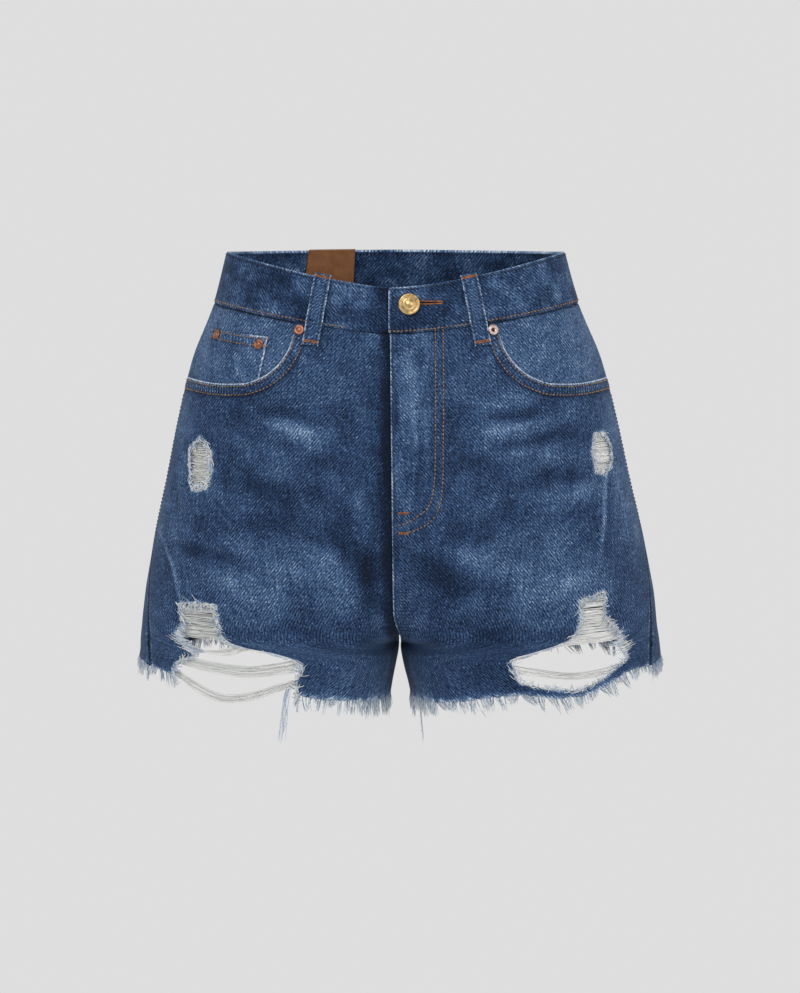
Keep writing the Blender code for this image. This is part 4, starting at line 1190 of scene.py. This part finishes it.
def build_fly(lining):
    line = on_front(
        [(3.5, -45.5), (38, -44), (37, -100), (37, -150), (33, -175), (22, -190), (9, -196), (3.5, -196)]
    )
    side_cloth("fly_facing", LEFT, FRONT, line, -2.1, lining, 2.4)
    for name, left, right, low, out in (
        ("zip_tape", -10, 11, 4.2, -5.75), ("fly_shield", -22, 30, 4.4, -7.2)
    ):
        ends = flat(FRONT, np.array([left, right, right, left]) / 200, np.array([1.006, 1.006, low, low]))
        if name == "zip_tape":
            made = side_cloth(
                name, LEFT, FRONT, ends, out, lining, 2.0, finish="zip_cotton", reverse="zip_cotton"
            )
        else:
            side_cloth(name, LEFT, FRONT, ends, out, lining, 2.4)
    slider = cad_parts["zip_slider"]
    slider.data.materials.clear()
    slider.data.materials.append(material("antique_brass"))


def build_waist(band, loop_thick, hide):
    made = cloth(
        "waistband", round_waist, band_loops(), 1.4, band, band_out, band_look, reverse="washed_denim",
        round_by=0.7
    )
    strip = np.array([(0, 0), (LOOP_WIDE, 0), (LOOP_WIDE, LOOP_LONG), (0, LOOP_LONG)], float)
    for name, (side, half, top, low) in LOOPS.items():
        edge = ragged(strip, 0.25, 61)
        made = cloth(name, loop_place(side, half, top, low), [edge], 0.9, loop_thick, loop_out, loop_look)
    patch = rectangle(BACK, 0.19, -0.03, 0.415, 0.88)
    made = side_cloth(
        "leather_patch", RIGHT, BACK, patch, -2.75, hide, 1.4, plain_look(0.1), finish="tan_leather",
        reverse="tan_leather"
    )


def turned(name, profile, side, x, z, out, finish, stands_for=None, slot=None, around=40):
    """A turned metal piece from (radius, height) pairs, standing on the front at x and z."""
    u, w = unflat(FRONT, on_front([(x, z)]))
    at, n = put(side, FRONT, u, w, [out])
    turn = np.linspace(0, 2 * math.pi, around, endpoint=False)
    axis = Vector(n[0]).to_track_quat("Z", "Y").to_matrix()
    points = [
        Vector(at[0]) + axis @ Vector((r * math.cos(a), r * math.sin(a), h)) * MM for r,
        h in profile for a in turn
    ]
    faces = []
    for i in range(len(profile) - 1):
        for k in range(around):
            a, b = i * around + k, i * around + (k + 1) % around
            faces.append((a, b, b + around, a + around))
    made = mesh_object(name + "_metal", points, faces)
    made.data.polygons.foreach_set("use_smooth", np.ones(len(faces), bool))
    made.data.materials.append(material(finish))
    if stands_for:
        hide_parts(stands_for)
    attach(made, "root")
    return made


def build_metal():
    head = [
        (2.4, -2.5), (2.4, 0.0), (7.6, 0.1), (8.3, 0.5), (8.5, 1.2), (8.4, 1.9), (7.9, 2.4), (7.3, 2.5),
        (6.7, 2.3), (6.3, 1.9)
    ]
    head += [(6.0, 2.0), (5.4, 2.5), (4.4, 3.0), (3.9, 3.0), (3.6, 2.8), (3.2, 3.2), (2.0, 3.7), (0.01, 3.9)]
    turned("button", head, LEFT, 10, -21.3, 0.7, "antique_brass", "button", "brass")
    stud = [
        (4.0, 0.0), (4.1, 0.3), (3.9, 0.7), (3.3, 0.9), (2.6, 0.75), (2.2, 0.7), (1.9, 1.1), (1.1, 1.55),
        (0.01, 1.7)
    ]
    for name, side, x, z, out in (
        ("rivet_front_right", RIGHT, 75, -41, 0.7),
        ("rivet_coin_outer", RIGHT, 142, -45, -1.0),
        ("rivet_coin_inner", RIGHT, 107.5, -52, -1.0),
    ):
        turned(name, stud, side, x, z, out, "aged_copper", name, "copper")
    ring = [(4.2, 0.0), (4.3, 0.4), (4.0, 0.9), (2.6, 1.1), (1.9, 1.0), (1.5, 0.5), (0.01, 0.45)]
    turned("rivet_front_left", ring, LEFT, 74.5, -41, 0.7, "rose_nickel", "rivet_front_left", "rose_nickel")
    turned("rivet_core_left", [(1.4, 0.45), (1.2, 0.8), (0.01, 0.9)], LEFT, 74.5, -41, 0.7, "dark_metal")


# ---------------------------------------------------------------- stitches and threads, by Geometry Nodes


def socket(group, name, kind, default=None):
    made = group.interface.new_socket(name, in_out="INPUT", socket_type=kind)
    if default is not None:
        made.default_value = default
    return made.identifier


def node_group(name, strands):
    """A tree that turns guide lines into sewn stitches, or into strands as thick as their own attribute
    says."""
    group = bpy.data.node_groups.new(name, "GeometryNodeTree")
    group.interface.new_socket("Geometry", in_out="OUTPUT", socket_type="NodeSocketGeometry")
    keys = {
        "Geometry": socket(group, "Geometry", "NodeSocketGeometry"),
        "Material": socket(group, "Material", "NodeSocketMaterial")
    }
    keys["Pitch"] = socket(group, "Pitch", "NodeSocketFloat", 0.003)
    keys["Length"] = socket(group, "Length", "NodeSocketFloat", 0.0023)
    keys["Thickness"] = socket(group, "Thickness", "NodeSocketFloat", 0.0008)
    given = group.nodes.new("NodeGroupInput").outputs
    lines = add(group, "GeometryNodeMeshToCurve", {0: given["Geometry"]})
    if strands:
        wide = add(group, "GeometryNodeInputNamedAttribute", {"Name": "wide"}, data_type="FLOAT")
        ring = add(group, "GeometryNodeCurvePrimitiveCircle", {"Resolution": 3, "Radius": 1.0})
        shape = add(group, "GeometryNodeCurveToMesh", {"Curve": lines, "Profile Curve": ring, "Scale": wide})
    else:
        lines = add(
            group, "GeometryNodeResampleCurve", {"Curve": lines, "Length": given["Pitch"]}, mode="LENGTH"
        )
        bead = add(group, "GeometryNodeMeshUVSphere", {"Segments": 6, "Rings": 4, "Radius": 0.5})
        up = add(group, "GeometryNodeInputNamedAttribute", {"Name": "up"}, data_type="FLOAT_VECTOR")
        tangent = add(group, "GeometryNodeInputTangent")
        turn = add(group, "FunctionNodeAlignRotationToVector", {"Vector": tangent}, axis="X")
        turn = add(
            group, "FunctionNodeAlignRotationToVector", {"Rotation": turn, "Vector": up}, axis="Z",
            pivot_axis="X"
        )
        size = add(
            group, "ShaderNodeCombineXYZ", {0: given["Length"], 1: given["Thickness"], 2: given["Thickness"]}
        )
        shape = add(
            group, "GeometryNodeInstanceOnPoints",
            {"Points": lines, "Instance": bead, "Rotation": turn, "Scale": size}
        )
        shape = add(group, "GeometryNodeRealizeInstances", {"Geometry": shape})
    shape = add(group, "GeometryNodeSetShadeSmooth", {0: shape})
    shape = add(group, "GeometryNodeSetMaterial", {"Geometry": shape, "Material": given["Material"]})
    group.nodes.new("NodeGroupOutput")
    group.links.new(shape, group.nodes[-1].inputs[0])
    return group, keys


GROUPS = {}


def grown(name, lines, finish, slot, strands=False, values=None, stands_for=(), **sizes):
    """A piece of stitches or strands from guide lines of (points, directions or thickness, tint)."""
    points, edges, ups, wides, tints = [], [], [], [], []
    for at, extra, tint in lines:
        start = len(points)
        points += [tuple(p) for p in at]
        edges += [(start + i, start + i + 1) for i in range(len(at) - 1)]
        (wides if strands else ups).extend(extra)
        tints.extend(np.broadcast_to(tint, len(at)))
    made = mesh_object(name + "_thread", points, [], edges)
    attribute(made.data, "tint", tints)
    if strands:
        attribute(made.data, "wide", wides)
    else:
        attribute(made.data, "up", ups, "FLOAT_VECTOR")
    if strands not in GROUPS:
        GROUPS[strands] = node_group("strand" if strands else "stitch_row", strands)
    group, keys = GROUPS[strands]
    worked = made.modifiers.new("nodes", "NODES")
    worked.node_group = group
    worked[keys["Material"]] = material(finish)
    for key, value in sizes.items():
        worked[keys[key]] = value
    bpy.context.view_layer.update()
    done = bpy.data.meshes.new_from_object(made.evaluated_get(bpy.context.evaluated_depsgraph_get()))
    made.modifiers.clear()
    made.data = done
    if stands_for:
        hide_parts(*stands_for)
    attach(made, "root")
    return made


def sewn(piece, line, step=1.0, above=0.12):
    at, up = surface(piece, spaced(line, step), above)
    return at, up, 0.5


def build_stitches(pitch, length, thick):
    brown, dark, bars = [], [], []
    mouth = mouth_line()
    inward = shifted(mouth, 2.2), shifted(mouth, 8.6)
    if inward[0][:, 1].mean() < mouth[:, 1].mean():
        inward = shifted(mouth, -2.2), shifted(mouth, -8.6)
    for word, side in (("left", LEFT), ("right", RIGHT)):
        brown += [sewn("front_" + word, line[2:-3]) for line in inward]
        seam = flat(FRONT, np.full(40, 1.0), np.linspace(2.6, 8.9, 40)) - (2.0, 0)
        dark.append(sewn("front_" + word, seam))
        brown.append(
            sewn("back_yoke_" + word, straight(BACK, (0.02, YOKE_MIDDLE - 0.05), (0.98, YOKE_SIDE - 0.05)))
        )
        brown.append(
            sewn("back_yoke_" + word, straight(BACK, (0.02, YOKE_MIDDLE - 0.19), (0.98, YOKE_SIDE - 0.19)))
        )
        corners = np.array(BACK_POCKET)
        middle = corners.mean(0)
        for share in (0.96, 0.87):
            shape = middle + (corners - middle) * share
            brown.append(sewn("back_pocket_" + word, straight(BACK, *shape[[1, 2, 3, 4, 0]])))
        top = middle + (corners[:2] - middle) * 0.94
        brown.append(sewn("back_pocket_" + word, straight(BACK, *top)))
    for line in (FLY_OUTER, FLY_INNER):
        brown.append(sewn("front_left", on_front(curve(line, 2)[:-1])))
    fold = np.linspace(1.1, 7.0, 90)
    down = np.interp(fold, FORM_ROWS, FORM_DOWN[FRONT])
    dark.append(sewn("front_left", np.column_stack([front_edge(LEFT, fold) + 1.8, down])))
    low = np.linspace(5.2, 7.0, 40)
    down = np.interp(low, FORM_ROWS, FORM_DOWN[FRONT])
    dark.append(sewn("front_left", np.column_stack([front_edge(LEFT, low) + 9.5, down])))
    start, end = -4.0, 4 * BAND_QUARTER - 34
    for t, group in ((2.4, dark), (BAND_HIGH - 2.3, brown)):
        group.append(sewn("waistband", np.array([(start, t), (end, t)]), 2.0))
    dark.append(sewn("waistband", np.array([(-2.6, 6), (-2.6, BAND_HIGH - 3)])))
    for name in LOOPS:
        dark += [sewn(name, np.array([(x, 1.5), (x, LOOP_LONG - 1.5)])) for x in (2.2, LOOP_WIDE - 2.2)]
        for t in (2.0, 3.0, LOOP_LONG - 3.2, LOOP_LONG - 2.2):
            bars.append(sewn(name, np.array([(1.2, t), (LOOP_WIDE - 1.2, t)])))
    hem = on_front([(146, -39), (124, -43.5), (100.5, -46)])
    for by in (1.8, 7.8):
        brown.append(sewn("coin_pocket", hem + (0, by)))
    patch = straight(BACK, (0.2, 0.03), (0.41, 0.03))
    dark.append(sewn("leather_patch", patch, 1.0, 0.2))
    for z in (-180.5, -181.5, -196, -197):
        bars.append(sewn("front_left", on_front([(0.5, z), (7, z)])))
    slit = find(FRONT, [17.6, 35.4, 35.4, 17.6], [-20.9, -20.6, -18.9, -18.6])
    u, w = unflat(FRONT, slit)
    bars.append(sewn("waistband", np.column_stack([u * BAND_QUARTER, w * BAND_HIGH]), 0.5, 0.3))
    sizes = {"Pitch": pitch, "Length": length, "Thickness": thick}
    grown("topstitching", brown, "golden_brown_thread", None, **sizes)
    grown("dark_stitching", dark, "dark_thread", None, **sizes)
    grown("bartacks", bars, "orange_brown_thread", None, Pitch=0.0011, Length=0.0014, Thickness=0.0011)


def strand(place, st, out, wide, tint):
    """One thread through flat points. wide is its radius in millimetres."""
    at, _ = put(*place(np.asarray(st, float)), out)
    thin = np.full(len(at), wide * MM)
    thin[-1] *= 0.45
    return at, thin, tint


def fringe_lines(side, rng, each):
    """Combed locks below a raw hem, slanting and drawn together at their tips."""
    found = []
    ends = (0.535, 0.895) if side < 0 else (0.02, 0.98)
    spans = [(FRONT, 0.003, ends[0]), (BACK, 0.003, 0.997), (FRONT, ends[1], 0.999)]
    if side > 0:
        spans = [(FRONT, 0.003, 0.999), (BACK, 0.003, 0.997)]
    for half, u0, u1 in spans:
        place = side_place(side, half)
        wide = float(width(half, 9.0))
        count = int((u1 - u0) * wide / each)
        lock_at = np.sort(rng.uniform(u0 * wide, u1 * wide, max(int(count * each / 6.5), 2)))
        lock_long = rng.uniform(7.0, 15.0, len(lock_at))
        lean = rng.normal(0.0, 2.0, len(lock_at)) + (2.5 if side > 0 else -0.5)
        for s in np.sort(rng.uniform(u0 * wide, u1 * wide, count)):
            k = int(np.abs(lock_at - s).argmin())
            u = s / wide
            row = float(hem_row(side, u)) if half == FRONT else 9.0
            t0 = float(np.interp(row, FORM_ROWS, FORM_DOWN[half])) - 1.2
            long = lock_long[k] * rng.uniform(0.55, 1.1)
            tip = s + (lock_at[k] - s) * rng.uniform(0.3, 0.85) + lean[k] * long / 11 + rng.normal(0, 0.8)
            q = np.linspace(0, 1, 7)
            wave = rng.normal(0, 0.5) * np.sin(q * rng.uniform(3, 8) + rng.uniform(0, 6)) * q
            st = np.column_stack([s + (tip - s) * q**1.5 + wave, t0 + long * q])
            out = -0.6 + rng.uniform(-0.4, 0.7) + q * rng.normal(0.3, 0.9)
            tint = np.clip(rng.normal(0.66, 0.14) + 0.22 * q - 0.12 * (1 - q), 0, 1)
            found.append(strand(place, st, out, rng.uniform(0.16, 0.3), tint))
    return found


def bridge(side, rng, band, wide, count, tint, out=-1.3, sag=1.5):
    """Weft threads left across a rip: band is their middle line, in x and z."""
    line = spaced(on_front(curve(band, 4)), 5.0)
    found = []
    for _ in range(count):
        q = np.linspace(0, 1, len(line))
        off = rng.uniform(-wide / 2, wide / 2)
        drop = sag * rng.uniform(0.2, 1.2) * np.sin(q * math.pi) + 0.35 * np.sin(
            q * rng.uniform(6, 16) + rng.uniform(0, 6)
        )
        st = line + np.column_stack([np.zeros(len(line)), off * rng.uniform(0.75, 1.0) + drop])
        depth = out + rng.uniform(-0.4, 0.5) + 0.9 * np.sin(q * math.pi) * rng.uniform(0, 1)
        found.append(
            strand(
                side_place(side, FRONT), st, depth, rng.uniform(0.14, 0.26),
                np.clip(rng.normal(tint, 0.16), 0, 1)
            )
        )
    return found


def frays(side, rng, shape, count, long, tint=0.8, closed=True):
    """Short curled ends that stand along a torn edge."""
    edge = spaced(on_front(shape), 0.8, closed)
    middle = edge.mean(0)
    found = []
    for _ in range(count):
        root = edge[rng.integers(len(edge))]
        aim = (middle - root) / max(np.linalg.norm(middle - root), 1e-6)
        turn = rng.normal(0, 0.9)
        aim = np.array(
            [
                aim[0] * math.cos(turn) - aim[1] * math.sin(turn),
                aim[0] * math.sin(turn) + aim[1] * math.cos(turn)
            ]
        )
        q = np.linspace(0, 1, 7)
        curl = rng.uniform(0.4, 1.5) * np.sin(q * rng.uniform(2, 6)) * rng.choice([-1, 1])
        reach = long * rng.uniform(0.4, 1.1)
        st = root + np.outer(q * reach - 0.8, aim) + np.outer(curl, [-aim[1], aim[0]])
        out = rng.uniform(-0.4, 0.5) + 1.1 * np.sin(q * 2.6)
        found.append(
            strand(
                side_place(side, FRONT), st, out, rng.uniform(0.2, 0.34),
                np.clip(rng.normal(tint, 0.16), 0, 1)
            )
        )
    return found


# Threads across the rips: middle line in x and z, width, number, tint.
BANDS = {
    "rip_threads_right_upper": (RIGHT, [(180, -266), (160, -266), (143, -267), (126, -270)], 32, 130, 0.78),
    "rip_threads_right_second": (RIGHT, [(181, -284), (158, -289), (138, -290), (116, -283)], 7, 40, 0.92),
    "rip_threads_right_third": (
        RIGHT, [(181, -296), (150, -301), (120, -304), (96, -302), (76, -299)], 11, 64, 0.8
    ),
    "rip_threads_right_lowest": (
        RIGHT, [(181, -305), (160, -317), (139, -325), (115, -323), (95, -317), (74, -311)], 8, 44, 0.82
    ),
    "rip_threads_left_upper": (LEFT, [(182, -266), (165, -266), (146, -267), (122, -270)], 46, 190, 0.95),
    "rip_threads_left_middle": (
        LEFT, [(80, -301), (100, -304), (130, -308), (158, -306), (180, -301)], 7, 40, 0.92
    ),
    "tear_threads_right": (RIGHT, [(167, -146), (155, -147), (141, -146)], 38, 150, 0.85),
    "tear_threads_left": (LEFT, [(171, -138), (160, -138), (147, -138)], 34, 150, 1.0),
}


def build_threads(each):
    rng = np.random.default_rng(11)
    for name, (side, band, wide, count, tint) in BANDS.items():
        lines = bridge(
            side, rng, band, wide, count, tint, -2.0 if "tear" in name else -1.2,
            0.4 if "tear" in name else 1.5
        )
        grown(
            name, lines, "beige_cotton", "white_cotton" if "tear" in name else "frayed_cotton", True,
            stands_for=[name]
        )
    for side, word in ((LEFT, "left"), (RIGHT, "right")):
        grown(
            "fringe_" + word, fringe_lines(side, rng, each), "frayed_cotton", "frayed_cotton", True,
            stands_for=["fringe_" + word]
        )
    curls = frays(RIGHT, rng, TEAR_RIGHT, 260, 6.5) + frays(LEFT, rng, TEAR_LEFT, 220, 5.0)
    curls += frays(RIGHT, rng, RIP_RIGHT, 620, 8.0, closed=False) + frays(LEFT, rng, RIP_LEFT, 600, 7.0)
    grown("rip_frays", curls, "frayed_cotton", "frayed_cotton", True)
    loose = []
    for side, u, row, long, count in ((RIGHT, 0.55, 8.6, 54, 16), (LEFT, 0.187, 8.75, 38, 9)):
        s, t = flat(FRONT, [u], [row])[0]
        threads = []
        for _ in range(count):
            q = np.linspace(0, 1, 14)
            x = s + rng.normal(0, 1.4) + rng.normal(0, 1.0) * np.sin(q * rng.uniform(3, 9)) + rng.normal(0, 1.5) * q
            st = np.column_stack([x, t + long * rng.uniform(0.6, 1.0) * q])
            threads.append(
                strand(
                    side_place(side, FRONT), st, -2.0 + rng.uniform(0, 1, 14) * 0.3, 0.19,
                    rng.uniform(0.5, 0.85)
                )
            )
        loose.append(threads)
    for word, threads in zip(("right", "left"), loose):
        grown(
            "loose_threads_" + word, threads, "frayed_cotton", "frayed_cotton", True,
            stands_for=["loose_threads_" + word]
        )


# ---------------------------------------------------------------- stage


def area_light(name, at, aim, size, watts):
    lamp = bpy.data.lights.new(name, "AREA")
    lamp.energy, lamp.size = watts, size
    made = bpy.data.objects.new(name, lamp)
    bpy.context.scene.collection.objects.link(made)
    made.location = at
    made.rotation_euler = (Vector(aim) - Vector(at)).to_track_quat("-Z", "Y").to_euler()


def build_stage(key_watts, air):
    scene = bpy.context.scene
    scene.view_settings.view_transform = "Standard"
    world = bpy.data.worlds.new("studio")
    world.use_nodes = True
    world.node_tree.nodes["Background"].inputs[0].default_value = (air, air, air, 1)
    scene.world = world
    area_light("key", (-1.0, -2.6, 2.0), (0, 0, -0.17), 1.6, key_watts)
    area_light("fill", (1.9, -2.2, 0.4), (0, 0, -0.17), 1.8, key_watts * 0.35)
    turn = np.linspace(0, 2 * math.pi, 64, endpoint=False)
    floor = mesh_object(
        "floor", [(2.3 * math.cos(a), 2.3 * math.sin(a), -1.3) for a in turn], [tuple(range(64))]
    )
    made, _, shader = blank("pale_floor")
    shader.inputs["Base Color"].default_value = rgb("e4e4e4")
    floor.data.materials.append(made)
    camera = bpy.data.objects.new("camera", bpy.data.cameras.new("camera"))
    scene.collection.objects.link(camera)
    target, rise, away = Vector((0.0032, 0, -0.1756)), math.radians(4), 2.6
    camera.location = target + Vector((0, -away * math.cos(rise), away * math.sin(rise)))
    camera.rotation_euler = (target - camera.location).to_track_quat("-Z", "Y").to_euler()
    camera.data.lens, camera.data.sensor_width = 117.8, 36
    scene.camera = camera


# ---------------------------------------------------------------- add-on


class ShortsCloth(bpy.types.PropertyGroup):
    denim: bpy.props.FloatProperty(
        name="Denim", description="Thickness of the denim, in mm", default=1.2, min=0.6, max=2.0
    )
    lining: bpy.props.FloatProperty(
        name="Lining", description="Thickness of the pocketing, in mm", default=1.0, min=0.4, max=2.0
    )
    band: bpy.props.FloatProperty(
        name="Waistband", description="Thickness of the waistband, in mm", default=2.6, min=1.5, max=3.0
    )
    loop: bpy.props.FloatProperty(
        name="Belt loop", description="Thickness of a belt loop, in mm", default=1.6, min=1.0, max=2.5
    )
    hide: bpy.props.FloatProperty(
        name="Leather", description="Thickness of the patch, in mm", default=1.4, min=0.8, max=2.0
    )


class ShortsThread(bpy.types.PropertyGroup):
    pitch: bpy.props.FloatProperty(
        name="Pitch", description="From stitch to stitch", default=0.0031, unit="LENGTH", precision=4
    )
    length: bpy.props.FloatProperty(
        name="Length", description="Length of a stitch", default=0.0024, unit="LENGTH", precision=4
    )
    thick: bpy.props.FloatProperty(
        name="Thickness", description="Thickness of the thread", default=0.0010, unit="LENGTH", precision=4
    )
    fringe: bpy.props.FloatProperty(
        name="Fringe spacing", description="From strand to strand at the hem, in mm", default=0.42, min=0.2
    )


class ShortsStage(bpy.types.PropertyGroup):
    key: bpy.props.FloatProperty(
        name="Key light", description="Power of the main light", default=34.0, unit="POWER"
    )
    air: bpy.props.FloatProperty(
        name="Backdrop", description="Brightness of the even backdrop", default=0.73, min=0.0, max=1.0
    )


class SHORTS_OT_panels(bpy.types.Operator):
    """Build the fronts, yokes, back panels and back pockets"""

    bl_idname = "shorts.panels"
    bl_label = "Panels"

    def execute(self, context):
        build_panels(context.scene.shorts_cloth.denim)
        return {"FINISHED"}


class SHORTS_OT_pockets(bpy.types.Operator):
    """Build the pocket facings, the bags and the coin pocket"""

    bl_idname = "shorts.pockets"
    bl_label = "Pockets"

    def execute(self, context):
        sizes = context.scene.shorts_cloth
        build_pockets(sizes.denim, sizes.lining)
        return {"FINISHED"}


class SHORTS_OT_fly(bpy.types.Operator):
    """Build the fly's facing, shield and zip"""

    bl_idname = "shorts.fly"
    bl_label = "Fly"

    def execute(self, context):
        build_fly(context.scene.shorts_cloth.lining)
        return {"FINISHED"}


class SHORTS_OT_waist(bpy.types.Operator):
    """Build the waistband, the belt loops and the leather patch"""

    bl_idname = "shorts.waist"
    bl_label = "Waist"

    def execute(self, context):
        sizes = context.scene.shorts_cloth
        build_waist(sizes.band, sizes.loop, sizes.hide)
        return {"FINISHED"}


class SHORTS_OT_metal(bpy.types.Operator):
    """Build the button and the rivets"""

    bl_idname = "shorts.metal"
    bl_label = "Metal"

    def execute(self, context):
        build_metal()
        return {"FINISHED"}


class SHORTS_OT_stitches(bpy.types.Operator):
    """Sew the topstitching and the bartacks"""

    bl_idname = "shorts.stitches"
    bl_label = "Stitches"

    def execute(self, context):
        sizes = context.scene.shorts_thread
        build_stitches(sizes.pitch, sizes.length, sizes.thick)
        return {"FINISHED"}


class SHORTS_OT_threads(bpy.types.Operator):
    """Grow the fringes, the rips' threads and the frays"""

    bl_idname = "shorts.threads"
    bl_label = "Threads"

    def execute(self, context):
        build_threads(context.scene.shorts_thread.fringe)
        return {"FINISHED"}


class SHORTS_OT_stage(bpy.types.Operator):
    """Set up the camera, the lights and the floor"""

    bl_idname = "shorts.stage"
    bl_label = "Stage"

    def execute(self, context):
        sizes = context.scene.shorts_stage
        build_stage(sizes.key, sizes.air)
        return {"FINISHED"}


STEPS = (
    SHORTS_OT_panels,
    SHORTS_OT_pockets,
    SHORTS_OT_fly,
    SHORTS_OT_waist,
    SHORTS_OT_metal,
    SHORTS_OT_stitches,
    SHORTS_OT_threads,
    SHORTS_OT_stage,
)


class SHORTS_PT_panel(bpy.types.Panel):
    """The sizes and the steps of the shorts"""

    bl_idname = "SHORTS_PT_panel"
    bl_label = "Denim Shorts"
    bl_space_type = "VIEW_3D"
    bl_region_type = "UI"
    bl_category = "Shorts"

    def draw(self, context):
        for name, group in GROUPS_OF_SIZES.items():
            for key in group.__annotations__:
                self.layout.prop(getattr(context.scene, name), key)
        for step in STEPS:
            self.layout.operator(step.bl_idname)


GROUPS_OF_SIZES = {"shorts_cloth": ShortsCloth, "shorts_thread": ShortsThread, "shorts_stage": ShortsStage}


def register():
    for made in (*GROUPS_OF_SIZES.values(), *STEPS, SHORTS_PT_panel):
        bpy.utils.register_class(made)
    for name, group in GROUPS_OF_SIZES.items():
        setattr(bpy.types.Scene, name, bpy.props.PointerProperty(type=group))


def unregister():
    for name in GROUPS_OF_SIZES:
        delattr(bpy.types.Scene, name)
    for made in reversed((*GROUPS_OF_SIZES.values(), *STEPS, SHORTS_PT_panel)):
        bpy.utils.unregister_class(made)


def main():
    register()
    for step in STEPS:
        getattr(bpy.ops.shorts, step.bl_idname.split(".")[1])()


if __name__ == "__main__":
    main()
